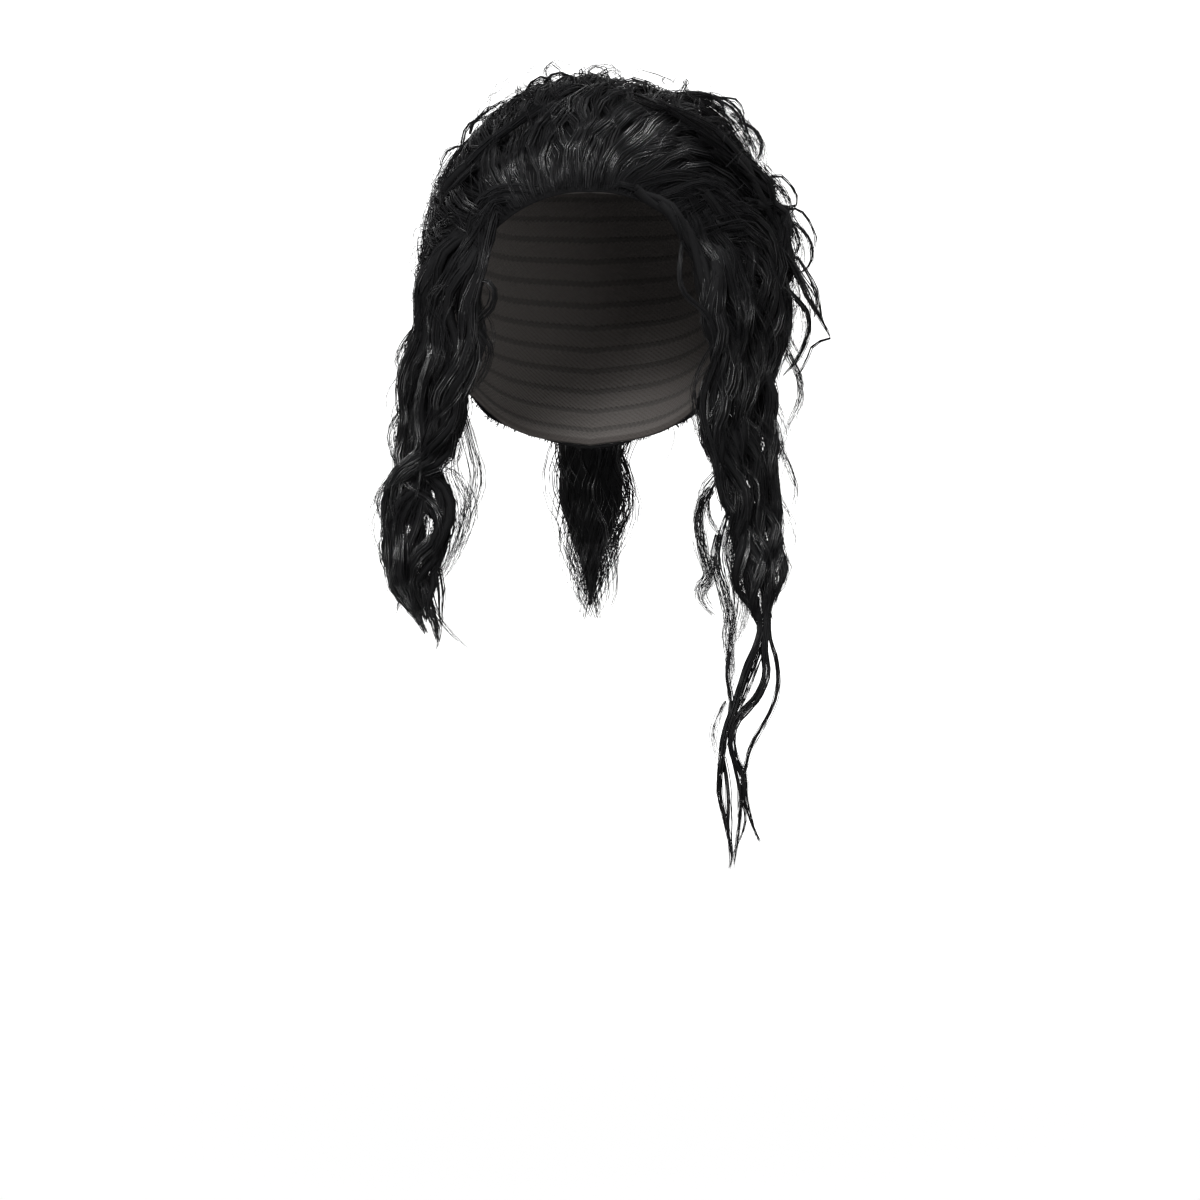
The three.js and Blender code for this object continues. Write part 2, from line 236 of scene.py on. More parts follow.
def read(rows: Sequence[Row], at: Array) -> Array:
    """Reads a table at any angles, on a smooth curve.

    Args:
        rows: the table's rows, by rising angle.
        at: the angles.

    Returns:
        What the table gives at each.
    """
    keys = np.array([row.at for row in rows], float)
    values = np.array([row.gives for row in rows], float)
    slopes = np.gradient(values, keys)
    places = np.clip(np.asarray(at, float), keys[0], keys[-1])
    low = between(keys, places)
    span = keys[low + 1] - keys[low]
    t = (places - keys[low]) / span
    return bow(t, span, (values[low], values[low + 1]), (slopes[low], slopes[low + 1]))


def spline(points: Array, step: float) -> Array:
    """Smooth line through points.

    Args:
        points: the points that it passes.
        step: about the distance between the points that are returned.

    Returns:
        The line's points.
    """
    chords = np.linalg.norm(np.diff(points, axis=0), axis=1)
    keys = np.concatenate([[0.0], np.cumsum(np.sqrt(chords))])
    slopes = np.gradient(points, keys, axis=0)
    fine = np.linspace(0.0, keys[-1], SPLINE_FINENESS * len(points))
    low = between(keys, fine)
    span = (keys[low + 1] - keys[low])[:, None]
    t = (fine - keys[low])[:, None] / span
    line = bow(t, span, (points[low], points[low + 1]), (slopes[low], slopes[low + 1]))
    run = np.concatenate([[0.0], np.cumsum(np.linalg.norm(np.diff(line, axis=0), axis=1))])
    even = np.linspace(0.0, run[-1], max(SPLINE_LEAST, int(run[-1] / step)))
    return np.stack([np.interp(even, run, line[:, axis]) for axis in range(3)], axis=1)


def line_frame(points: Array, reference: Array | Place) -> tuple[Array, Array]:
    """Unit vectors across a line and out of it, at each of its points.

    Args:
        points: the line's points.
        reference: about the way out, at each point or for all.

    Returns:
        The vectors across and out.
    """
    tangent = unit(np.gradient(points, axis=0))
    across = unit(np.cross(tangent, reference))
    return across, np.cross(across, tangent)


def offset(directions: tuple[Array, Array], wide: Array, deep: Array) -> Array:
    """Steps of these sizes along two directions, at each point of a line."""
    return directions[0] * wide[:, None] + directions[1] * deep[:, None]


def hang(knots: Sequence[Knot], side: Side) -> Array:
    """Points of a line's knots on a side of the face."""
    return np.array([[side.value * knot.side, -knot.fore, -knot.drop] for knot in knots])


@dataclass(frozen=True)
class Form:
    """A rounded form about the head's centre, with the powers of its outlines."""

    left: float
    right: float
    half_length: float
    half_height: float
    plan: float
    rise_left: float
    rise_right: float
    turn_over: float = 0.5

    def radius(self, way: Array) -> Array:
        """Distance from the centre to the surface.

        Args:
            way: unit directions from the centre.

        Returns:
            The distance along each direction.
        """
        half_width = np.where(way[..., 0] < 0, self.left, self.right)
        across = np.abs(way[..., 0] / half_width) ** self.plan
        ahead = np.abs(way[..., 1] / self.half_length) ** self.plan
        to_right = ease(way[..., 0], -self.turn_over, self.turn_over)
        rise = blend(self.rise_left, self.rise_right, to_right)
        up = np.abs(way[..., 2] / self.half_height) ** rise
        return ((across + ahead) ** (rise / self.plan) + up) ** (-1.0 / rise)


@dataclass(frozen=True)
class Tie:
    """Where the hair is gathered: degrees round and down, and heights over the head."""

    round: float = 180.0
    down: float = 84.0
    gather: float = 26.0
    hair_lift: float = 17.0
    tail_lift: float = 18.0
    ring_lift: float = 25.0
    neck_radius: float = 13.5
    thickness: float = 8.0


@dataclass(frozen=True)
class Head:
    """The head that the cap fits and the form of the swept-back hair round it."""

    head: Form = Form(76, 76, 97, 98, 2, 2, 2)
    hair: Form = Form(84, 97, 112, 115, 2.1, 2.15, 2.6)
    centre: Place = (0.0, 0.0, -98.0)
    mean_radius: float = 98.0
    cap_wall: float = 2.0
    hair_base: float = 3.4
    edge_depth: float = 3.0
    edge_rise: float = 19.0
    nape_depth: float = 9.0
    nape_from: float = 78.0
    nape_to: float = 116.0
    tie: Tie = Tie()
    rim: tuple[Row, ...] = (  # round from the forehead, and down to the cap's edge
        Row(0, 62), Row(20, 64), Row(32, 71), Row(40, 80), Row(50, 93), Row(62, 106), Row(75, 102),
        Row(90, 98), Row(110, 108), Row(140, 126), Row(180, 132),
    )
    hair_edge: tuple[Row, ...] = (  # turned about the tie from straight up, and away to the edge
        Row(0, 146), Row(24, 144.5), Row(48, 141), Row(72, 135.5), Row(84, 131), Row(92, 123),
        Row(98, 108), Row(104, 90), Row(110, 76), Row(120, 64.5), Row(138, 58), Row(150, 51),
        Row(165, 48), Row(180, 48),
    )

    def rim_down(self, round_: Array) -> Array:
        """Degrees down from the crown to the cap's edge."""
        return read(self.rim, np.abs(round_))

    def edge_away(self, turn: Array) -> Array:
        """Degrees away from the tie to the edge of the swept-back hair."""
        return read(self.hair_edge, np.abs(turn))

    def direction(self, round_: Array, down: Array) -> Array:
        """Unit directions by degrees round from the forehead and down from the crown."""
        r, d = np.radians(round_), np.radians(down)
        return np.stack([np.sin(d) * np.sin(r), -np.sin(d) * np.cos(r), np.cos(d) + 0 * r], axis=-1)

    def tie_axis(self) -> Array:
        """Unit direction from the centre to the tie."""
        return self.direction(np.array(self.tie.round), np.array(self.tie.down))

    def about_tie(self, turn: Array, away: Array) -> Array:
        """Unit directions on the head, told from the tie.

        Args:
            turn: degrees turned about the tie from straight up.
            away: degrees away from the tie.

        Returns:
            The directions from the head's centre.
        """
        axis = self.tie_axis()
        up = unit(np.array(UP) - axis * axis[2])
        t, a = np.radians(turn)[..., None], np.radians(away)[..., None]
        return axis * np.cos(a) + np.sin(a) * (up * np.cos(t) + np.array(ACROSS) * np.sin(t))

    def inside_edge(self, way: Array) -> Array:
        """Degrees from directions up to the cap's edge, negative beyond it."""
        round_ = np.degrees(np.arctan2(way[..., 0], -way[..., 1]))
        return self.rim_down(round_) - np.degrees(np.arccos(np.clip(way[..., 2], -1, 1)))

    def depth(self, way: Array) -> Array:
        """Depth of the swept-back hair over the cap.

        Args:
            way: unit directions from the head's centre.

        Returns:
            The depth along each direction.
        """
        down = np.degrees(np.arccos(np.clip(way[..., 2], -1, 1)))
        full = self.hair.radius(way) - self.head.radius(way) - self.hair_base
        deep = blend(full, self.nape_depth, ease(down, self.nape_from, self.nape_to))
        return blend(self.edge_depth, deep, ease(self.inside_edge(way), 0.0, self.edge_rise))

    def over(self, way: Array, lift: Array) -> Array:
        """Points at heights over the head."""
        reach = self.head.radius(way) + lift
        return way * np.asarray(reach)[..., None] + np.array(self.centre)

    def outward(self, points: Array) -> Array:
        """Unit vectors out of the head at points."""
        return unit(points - np.array(self.centre))


HEAD = Head()

Link = Union["Val", NodeSocket, float, int, str, tuple]


class Val:
    """A node socket that takes part in Python sums, each adding a Math node."""

    def __init__(self, graph: "Graph", socket: NodeSocket) -> None:
        """Wraps a socket of a graph."""
        self.graph = graph
        self.socket = socket

    def math(self, operation: str, first: Link, second: Link = 0.0) -> "Val":
        """Adds one Math node and gives its output."""
        return self.graph.value("ShaderNodeMath", {0: first, 1: second}, operation=operation)

    def __add__(self, other: Link) -> "Val":
        """Sum."""
        return self.math("ADD", self, other)

    __radd__ = __add__

    def __sub__(self, other: Link) -> "Val":
        """Difference."""
        return self.math("SUBTRACT", self, other)

    def __rsub__(self, other: Link) -> "Val":
        """Difference from a number."""
        return self.math("SUBTRACT", other, self)

    def __mul__(self, other: Link) -> "Val":
        """Product."""
        return self.math("MULTIPLY", self, other)

    __rmul__ = __mul__

    def __truediv__(self, other: Link) -> "Val":
        """Quotient."""
        return self.math("DIVIDE", self, other)

    def __pow__(self, other: Link) -> "Val":
        """Power."""
        return self.math("POWER", self, other)

    def sin(self) -> "Val":
        """Sine."""
        return self.math("SINE", self)

    def cos(self) -> "Val":
        """Cosine."""
        return self.math("COSINE", self)

    def greater(self, other: Link) -> "Val":
        """The greater of two values."""
        return self.math("MAXIMUM", self, other)

    def step(self, low: float, high: float) -> "Val":
        """Smooth step from 0 at low to 1 at high."""
        sockets = {"Value": self, "From Min": low, "From Max": high}
        return self.graph.value("ShaderNodeMapRange", sockets, interpolation_type="SMOOTHSTEP")


class Graph:
    """Adds nodes and links to a node tree."""

    def __init__(self, tree: NodeTree) -> None:
        """Starts on an empty tree."""
        self.tree = tree
        tree.nodes.clear()

    def node(self, kind: str, sockets: dict | None = None, **settings: object) -> Node:
        """Adds any node.

        Args:
            kind: the node's type.
            sockets: values or links of its inputs, by index, identifier or name.
            **settings: its own settings, which are set first.

        Returns:
            The node.
        """
        node = self.tree.nodes.new(kind)
        for name, value in settings.items():
            setattr(node, name, value)
        for key, value in (sockets or {}).items():
            self.fill(self.find(node.inputs, key), value)
        return node

    def find(self, sockets: bpy.types.bpy_prop_collection, key: int | str) -> NodeSocket:
        """Finds one of a node's sockets.

        Args:
            sockets: the node's inputs or outputs.
            key: its index, its identifier or the name of one in use.

        Returns:
            The socket.
        """
        if isinstance(key, int):
            return sockets[key]
        for socket in sockets:
            if socket.identifier == key:
                return socket
        return next(socket for socket in sockets if socket.name == key and socket.enabled)

    def fill(self, socket: NodeSocket, value: Link) -> None:
        """Links a socket to another, or sets its value.

        Args:
            socket: the socket that is filled.
            value: what it takes.
        """
        if isinstance(value, Val):
            value = value.socket
        if isinstance(value, NodeSocket):
            self.tree.links.new(value, socket)
        else:
            socket.default_value = value

    def value(self, kind: str, sockets: dict | None = None, output: int | str = 0,
              **settings: object) -> Val:
        """Adds any node and wraps one of its outputs."""
        return Val(self, self.find(self.node(kind, sockets, **settings).outputs, output))

    def vector(self, operation: str, first: Link, second: Link) -> NodeSocket:
        """Adds one Vector Math node on two vectors and gives its output."""
        sockets = {0: first, 1: second}
        return self.node("ShaderNodeVectorMath", sockets, operation=operation).outputs[0]

    def scaled(self, vector: Link, scale: Link) -> NodeSocket:
        """Scales a vector."""
        sockets = {0: vector, "Scale": scale}
        return self.node("ShaderNodeVectorMath", sockets, operation="SCALE").outputs[0]

    def mix(self, share: Link, first: Link, second: Link) -> Val:
        """Mixes two colours by a share."""
        sockets = {"Factor_Float": share, "A_Color": first, "B_Color": second}
        return self.value("ShaderNodeMix", sockets, "Result_Color", data_type="RGBA")

    def bump(self, height: Link, strength: float, depth: float) -> NodeSocket:
        """Relief by the height at each place, how much shows and how deep a height of 1 is."""
        sockets = {"Height": height, "Strength": strength, "Distance": depth * MM}
        return self.node("ShaderNodeBump", sockets).outputs[0]

    def surface(self, sockets: dict) -> None:
        """Ends a material in one Principled shader with these values and links."""
        shader = self.node("ShaderNodeBsdfPrincipled", sockets)
        self.node("ShaderNodeOutputMaterial", {"Surface": shader.outputs[0]})


def new_material(name: str) -> tuple[Material, Graph]:
    """Makes a material and starts its graph.

    Args:
        name: the material's name.

    Returns:
        The material and the graph.
    """
    material = bpy.data.materials.new(name)
    material.use_nodes = True
    return material, Graph(material.node_tree)


def link(piece: Object) -> Object:
    """Puts an object in the scene."""
    bpy.context.scene.collection.objects.link(piece)
    return piece


class SizedTree:
    """A Geometry Nodes tree with named inputs for its sizes, which makes plain meshes."""

    def __init__(self, name: str, kinds: dict[str, Socket]) -> None:
        """Starts the tree and notes the identifiers of its inputs.

        Args:
            name: the tree's name.
            kinds: its inputs, by name.
        """
        self.tree = bpy.data.node_groups.new(name, "GeometryNodeTree")
        self.graph = Graph(self.tree)
        face = self.tree.interface
        self.ids = {
            key: face.new_socket(key, in_out="INPUT", socket_type=kind.value).identifier
            for key, kind in kinds.items()
        }
        face.new_socket("Geometry", in_out="OUTPUT", socket_type=Socket.GEOMETRY.value)
        self.entry = self.graph.node("NodeGroupInput")

    def given(self, name: str) -> Val:
        """One of the tree's own inputs."""
        return Val(self.graph, self.entry.outputs[name])

    def circle(self, sides: Link, radius: Link) -> NodeSocket:
        """A closed ring of straight sides."""
        sockets = {"Resolution": sides, "Radius": radius}
        return self.graph.node("GeometryNodeCurvePrimitiveCircle", sockets).outputs[0]

    def end(self, shape: NodeSocket) -> None:
        """Ends the tree in one smooth mesh with its material.

        Args:
            shape: the mesh, or its instances.
        """
        node = self.graph.node
        smooth = node("GeometryNodeSetShadeSmooth", {"Geometry": shape})
        whole = node("GeometryNodeRealizeInstances", {"Geometry": smooth.outputs[0]})
        sockets = {"Geometry": whole.outputs[0], "Material": self.given("Material")}
        dressed = node("GeometryNodeSetMaterial", sockets)
        node("NodeGroupOutput", {0: dressed.outputs[0]})

    def apply(self, piece: Object, values: dict, keep: Sequence[str] = ()) -> None:
        """Runs the tree on a piece and makes the result its plain mesh.

        Args:
            piece: the object, which has no modifier.
            values: the tree's inputs, by name.
            keep: names of the attributes that stay on the mesh.
        """
        modifier = piece.modifiers.new(self.tree.name, "NODES")
        modifier.node_group = self.tree
        for key, value in values.items():
            modifier[self.ids[key]] = value
        graph = bpy.context.evaluated_depsgraph_get()
        shown = piece.evaluated_get(graph)
        mesh = bpy.data.meshes.new_from_object(
            shown, preserve_all_data_layers=True, depsgraph=graph
        )
        piece.modifiers.remove(modifier)
        old, piece.data = piece.data, mesh
        bpy.data.meshes.remove(old)
        mesh.name = piece.name
        for name in [layer.name for layer in mesh.attributes]:
            layer = mesh.attributes[name]
            kept = layer.is_required or name.startswith(".") or name in (*PLAIN_LAYERS, *keep)
            if not kept:
                mesh.attributes.remove(layer)


@dataclass
class Guide:
    """Middle line of one lock, with the half sizes of its bundle and its gleam at each point."""

    points: Array
    half: Array
    deep: Array
    reference: Array
    gleam: Array | float = 0.6

    def core(self, start: float) -> "Guide":
        """The bare middle line, without its root.

        Args:
            start: the share of its length that it starts at.

        Returns:
            The guide, with no width.
        """
        first = int(start * len(self.points))
        none = np.zeros(len(self.points) - first)
        return Guide(self.points[first:], none, none, self.reference[first:])

    def layers(self, shine: float) -> dict[str, Array]:
        """What the strand tree reads at each point.

        Args:
            shine: the lock's own shine, by which its gleam is lowered.

        Returns:
            The values by their attributes' names, with lengths in metres.
        """
        count = len(self.points)
        side, out = line_frame(self.points, self.reference)
        return {
            "half": self.half * MM, "deep": self.deep * MM, "along": np.linspace(0, 1, count),
            "gleam": shine * np.broadcast_to(self.gleam, count), "side": side, "out": out,
        }


def guide_mesh(name: str, guides: Sequence[Guide]) -> Mesh:
    """Mesh of guide lines with the attributes that the strand tree reads.

    Args:
        name: the mesh's name.
        guides: the lines.

    Returns:
        The mesh, with edges only.
    """
    points = np.concatenate([guide.points for guide in guides])
    ends = np.cumsum([len(guide.points) for guide in guides])
    firsts = np.setdiff1d(np.arange(len(points)), ends - 1)
    mesh = bpy.data.meshes.new(name)
    mesh.from_pydata(points * MM, np.stack([firsts, firsts + 1], axis=1).tolist(), [])
    chances = np.random.default_rng(SEED).uniform(size=len(guides))
    shines = LEAST_SHINE + (1.0 - LEAST_SHINE) * chances**SHINE_POWER
    layers = [guide.layers(shine) for guide, shine in zip(guides, shines)]
    for key in layers[0]:
        data = np.concatenate([layer[key] for layer in layers]).astype(np.float32)
        kind, entry = ("FLOAT", "value") if data.ndim == 1 else ("FLOAT_VECTOR", "vector")
        mesh.attributes.new(key, kind, "POINT").data.foreach_set(entry, data.ravel())
    return mesh


@dataclass(frozen=True)
class Growth:
    """How strands fill the locks that they follow. Trim, tip and taper are shares."""

    strands: int = 1
    thickness: float = 0.28
    frizz: float = 1.2
    frizz_length: float = 22.0
    trim: float = 0.12
    swirl: float = 2.4
    tip: float = 0.7
    taper: float = 3.0
    sides: int = 3
    seed: int = SEED

    def inputs(self, material: Material) -> dict:
        """Values of the strand tree's inputs.

        Args:
            material: the strands' material.

        Returns:
            The values by name, with lengths in metres.
        """
        return {
            "Strands": self.strands, "Thickness": self.thickness * MM, "Frizz": self.frizz * MM,
            "Frizz Scale": 1.0 / (self.frizz_length * MM), "Trim": self.trim,
            "Swirl": self.swirl, "Tip": self.tip, "Taper": self.taper, "Sides": self.sides,
            "Seed": self.seed, "Material": material,
        }


class StrandTree(SizedTree):
    """Geometry Nodes that fill every guide line with a bundle of thin closed strands."""

    FLOATS = ("Thickness", "Frizz", "Frizz Scale", "Trim", "Swirl", "Tip", "Taper")
    INTS = ("Strands", "Sides", "Seed")
    KINDS = {
        "Geometry": Socket.GEOMETRY, **dict.fromkeys(FLOATS, Socket.FLOAT),
        **dict.fromkeys(INTS, Socket.INT), "Material": Socket.MATERIAL,
    }
    NOISE_APART = 9.0  # metres within which the strands read their own noise
    NOISE_DETAIL = 1.0
    NOISE_MIDDLE = 0.5
    FRIZZ_GAIN = 3.0  # brings the noise's small swing up to the frizz that is asked for
    ROOT_FRIZZ = 0.15  # share of the frizz at the roots
    FULL_FRIZZ = 0.6  # share of the length where the frizz is whole
    LATE_START = 0.02  # most of a strand's length that is left out at its root
    LEAST_WIDTH = 0.7  # thinnest strand, as a share of the thickness
    MORE_WIDTH = 0.6  # how much more the thickest has

    def __init__(self) -> None:
        """Builds the tree."""
        super().__init__("strands", self.KINDS)
        index = self.graph.node("GeometryNodeInputIndex").outputs[0]
        kind = {"data_type": "INT", "domain": "CURVE"}
        self.strand = self.graph.node("GeometryNodeFieldOnDomain", {0: index}, **kind).outputs[0]
        self.wire()

    def named(self, name: str, kind: str = "FLOAT") -> NodeSocket:
        """An attribute of the guide lines."""
        node = self.graph.node("GeometryNodeInputNamedAttribute", {"Name": name}, data_type=kind)
        return next(socket for socket in node.outputs if socket.enabled)

    def chance(self, draw: Draw) -> Val:
        """A fixed random number for each strand.

        Args:
            draw: which of its numbers.

        Returns:
            The number, from 0 to 1.
        """
        seed = self.given("Seed") + draw.value
        sockets = {"ID": self.strand, "Seed": seed, "Min_001": 0.0, "Max_001": 1.0}
        return self.graph.value("FunctionNodeRandomValue", sockets, "Value_001", data_type="FLOAT")

    def spread(self) -> NodeSocket:
        """Where each strand lies in its lock's oval.

        Returns:
            Its offset from the guide line.
        """
        along, half, deep = (Val(self.graph, self.named(n)) for n in ("along", "half", "deep"))
        twist = (self.chance(Draw.SWIRL) - 0.5) * self.given("Swirl")
        angle = self.chance(Draw.ANGLE) * TAU + along * twist
        reach = self.chance(Draw.REACH) ** 0.5
        side, out = (self.named(name, "FLOAT_VECTOR") for name in ("side", "out"))
        wide = self.graph.scaled(side, half * reach * angle.cos())
        return self.graph.vector("ADD", wide, self.graph.scaled(out, deep * reach * angle.sin()))

    def wander(self) -> NodeSocket:
        """How each strand strays from its neighbours, more towards its tip.

        Returns:
            Its offset from its place in the oval.
        """
        along = Val(self.graph, self.named("along"))
        sockets = {
            "ID": self.strand, "Seed": self.given("Seed") + Draw.SHIFT.value,
            "Min": (0.0,) * 3, "Max": (self.NOISE_APART,) * 3,
        }
        shift = self.graph.value("FunctionNodeRandomValue", sockets, data_type="FLOAT_VECTOR")
        place = self.graph.node("GeometryNodeInputPosition").outputs[0]
        sockets = {
            "Vector": self.graph.vector("ADD", place, shift), "Scale": self.given("Frizz Scale"),
            "Detail": self.NOISE_DETAIL,
        }
        noise = self.graph.node("ShaderNodeTexNoise", sockets).outputs["Color"]
        centred = self.graph.vector("SUBTRACT", noise, (self.NOISE_MIDDLE,) * 3)
        grown = self.ROOT_FRIZZ + (1.0 - self.ROOT_FRIZZ) * along.step(0.0, self.FULL_FRIZZ)
        return self.graph.scaled(centred, self.given("Frizz") * self.FRIZZ_GAIN * grown)

    def wire(self) -> None:
        """Joins the steps from guide lines to strands."""
        graph = self.graph
        lines = graph.node("GeometryNodeMeshToCurve", {"Mesh": self.given("Geometry")})
        sockets = {"Geometry": lines.outputs[0], "Amount": self.given("Strands")}
        bundle = graph.node("GeometryNodeDuplicateElements", sockets, domain="SPLINE")
        apart = graph.vector("ADD", self.spread(), self.wander())
        sockets = {0: bundle.outputs[0], "Offset": apart}
        placed = graph.node("GeometryNodeSetPosition", sockets)
        sockets = {
            "Curve": placed.outputs[0], "Start": self.chance(Draw.START) * self.LATE_START,
            "End": 1.0 - self.given("Trim") * self.chance(Draw.END) ** 2.0,
        }
        trimmed = graph.node("GeometryNodeTrimCurve", sockets, mode="FACTOR")
        kind = {"data_type": "FLOAT", "domain": "POINT"}
        sockets = {"Geometry": trimmed.outputs[0], "Name": "tone", "Value": self.chance(Draw.TONE)}
        toned = graph.node("GeometryNodeStoreNamedAttribute", sockets, **kind)
        width = self.LEAST_WIDTH + self.MORE_WIDTH * self.chance(Draw.WIDTH)
        share = graph.value("GeometryNodeSplineParameter")
        slim = 1.0 - self.given("Tip") * share ** self.given("Taper")
        sockets = {
            "Curve": toned.outputs[0], "Profile Curve": self.circle(self.given("Sides"), 1.0),
            "Scale": self.given("Thickness") * width * slim, "Fill Caps": True,
        }
        self.end(graph.node("GeometryNodeCurveToMesh", sockets).outputs[0])

    def grow(self, name: str, guides: Sequence[Guide], growth: Growth,
             material: Material) -> Object:
        """Grows strands along guide lines.

        Args:
            name: the piece's name.
            guides: the lines of its locks.
            growth: how the strands fill them.
            material: the strands' material.

        Returns:
            The piece, as a plain mesh.
        """
        piece = link(bpy.data.objects.new(name, guide_mesh(name + "_guides", guides)))
        self.apply(piece, growth.inputs(material), keep=("tone", "gleam"))
        return piece


class RingTree(SizedTree):
    """Geometry Nodes of a ring of ribs on a core."""

    KINDS = {
        "Ring": Socket.FLOAT, "Cord": Socket.FLOAT, "Rib": Socket.FLOAT, "Ribs": Socket.INT,
        "Material": Socket.MATERIAL,
    }
    RING_SIDES = 64
    CORD_SIDES = 12
    PATH_SIDES = 96  # of the ring that the ribs are set out on
    RIB_LENGTHS = 14
    RIB_SIDES = 5

    def __init__(self) -> None:
        """Builds the tree."""
        super().__init__("ribbed_ring", self.KINDS)
        graph, ring = self.graph, self.given("Ring")
        cord = self.given("Cord") - self.given("Rib")
        core = self.sweep(self.circle(self.RING_SIDES, ring), self.circle(self.CORD_SIDES, cord))
        thread = self.circle(self.RIB_SIDES, self.given("Rib"))
        rib = self.sweep(self.circle(self.RIB_LENGTHS, cord), thread)
        sockets = {0: self.circle(self.PATH_SIDES, ring), "Count": self.given("Ribs")}
        points = graph.node("GeometryNodeCurveToPoints", sockets, mode="COUNT").outputs
        sockets = {"Points": points["Points"], "Instance": rib, "Rotation": points["Rotation"]}
        ribs = graph.node("GeometryNodeInstanceOnPoints", sockets).outputs[0]
        joined = graph.node("GeometryNodeJoinGeometry")
        for shape in (core, ribs):
            self.tree.links.new(shape, joined.inputs[0])
        self.end(joined.outputs[0])

    def sweep(self, path: Link, profile: Link) -> NodeSocket:
        """A profile carried along a path."""
        sockets = {"Curve": path, "Profile Curve": profile}
        return self.graph.node("GeometryNodeCurveToMesh", sockets).outputs[0]


def number_rings(count: int, sides: int, start: int = 0) -> tuple[Array, Array]:
    """Numbers of the points of closed rings, and those of the next points round."""
    numbers = np.arange(start, start + count * sides).reshape(count, sides)
    return numbers, np.roll(numbers, -1, axis=1)


def bands(rings: Array, after: Array) -> list[list[int]]:
    """Faces between closed rings of numbered points, and the next points round."""
    faces = np.stack([rings[:-1], after[:-1], after[1:], rings[1:]], axis=-1)
    return faces.reshape(-1, 4).tolist()


def closed_mesh(name: str, points: Array, faces: list[list[int]],
                material: Material) -> Object:
    """Object of a closed smooth mesh with its faces turned outwards.

    Args:
        name: the object's name.
        points: its vertices.
        faces: its faces.
        material: its material.

    Returns:
        The object, at the origin.
    """
    mesh = bpy.data.meshes.new(name)
    mesh.from_pydata(points * MM, [], faces)
    mesh.calc_loop_triangles()
    corners = np.array([tri.vertices for tri in mesh.loop_triangles])
    a, b, c = (points[corners[:, i]] for i in range(3))
    if np.einsum("ij,ij->i", a, np.cross(b, c)).sum() < 0:
        mesh.flip_normals()
    mesh.shade_smooth()
    mesh.materials.append(material)
    return link(bpy.data.objects.new(name, mesh))


Shares = Callable[[Array, Array], Array]  # a value by shares round a wall and down to its edge


def wall(name: str, grid: tuple[int, int], way: Shares, lifts: tuple[Shares | float, float],
         material: Material) -> Object:
    """Closed wall round the head from a pole to an edge.

    Args:
        name: the object's name.
        grid: facets round the pole, and from the pole to the edge.
        way: directions by the shares round the pole and down to the edge.
        lifts: heights over the head of the outer face, by the shares or one for all, and of the
            inner face.
        material: its material.

    Returns:
        The object, with the shares as a UV map.
    """
    columns, rows = grid
    sheet = 1 + rows * columns
    around, inward = np.meshgrid(np.arange(columns) / columns, np.arange(1, rows + 1) / rows)
    shares = np.concatenate([np.zeros((1, 2)), np.stack([around.ravel(), inward.ravel()], axis=1)])
    ways = way(*shares.T)
    outer = lifts[0](*shares.T) if callable(lifts[0]) else lifts[0]
    points = np.concatenate([HEAD.over(ways, lift) for lift in (outer, lifts[1])])
    faces: list[list[int]] = []
    for start, turn in ((0, 1), (sheet, -1)):
        rings, after = number_rings(rows, columns, start + 1)
        pole = np.stack([np.full(columns, start), rings[0], after[0]], axis=1)
        rest = np.stack([rings[:-1], rings[1:], after[1:], after[:-1]], axis=-1).reshape(-1, 4)
        faces += pole[:, ::turn].tolist() + rest[:, ::turn].tolist()
    rim, after = (numbers[0] for numbers in number_rings(1, columns, sheet - columns))
    faces += np.stack([rim, rim + sheet, after + sheet, after], axis=1).tolist()
    piece = closed_mesh(name, points, faces, material)
    layer = piece.data.uv_layers.new(name=WALL_MAP)
    for face in piece.data.polygons:
        corners = np.tile(shares, (2, 1))[list(face.vertices)]
        if np.ptp(corners[:, 0]) > SEAM:
            corners[corners[:, 0] < SEAM, 0] += 1.0
        for loop, corner in zip(face.loop_indices, corners):
            layer.uv[loop].vector = corner
    return piece


def loft(name: str, rings: Array, material: Material) -> Object:
    """Closed solid through rings of points, pointed at both ends.

    Args:
        name: the object's name.
        rings: points by ring and place round it.
        material: its material.

    Returns:
        The object.
    """
    tips = rings[0].mean(0)[None], rings[-1].mean(0)[None]
    points = np.concatenate([tips[0], rings.reshape(-1, 3), tips[1]])
    numbers, after = number_rings(*rings.shape[:2], start=1)
    first, last = np.zeros_like(numbers[0]), np.full_like(numbers[0], len(points) - 1)
    faces = np.stack([first, after[0], numbers[0]], axis=1).tolist()
    faces += bands(numbers, after)
    faces += np.stack([last, numbers[-1], after[-1]], axis=1).tolist()
    return closed_mesh(name, points, faces, material)


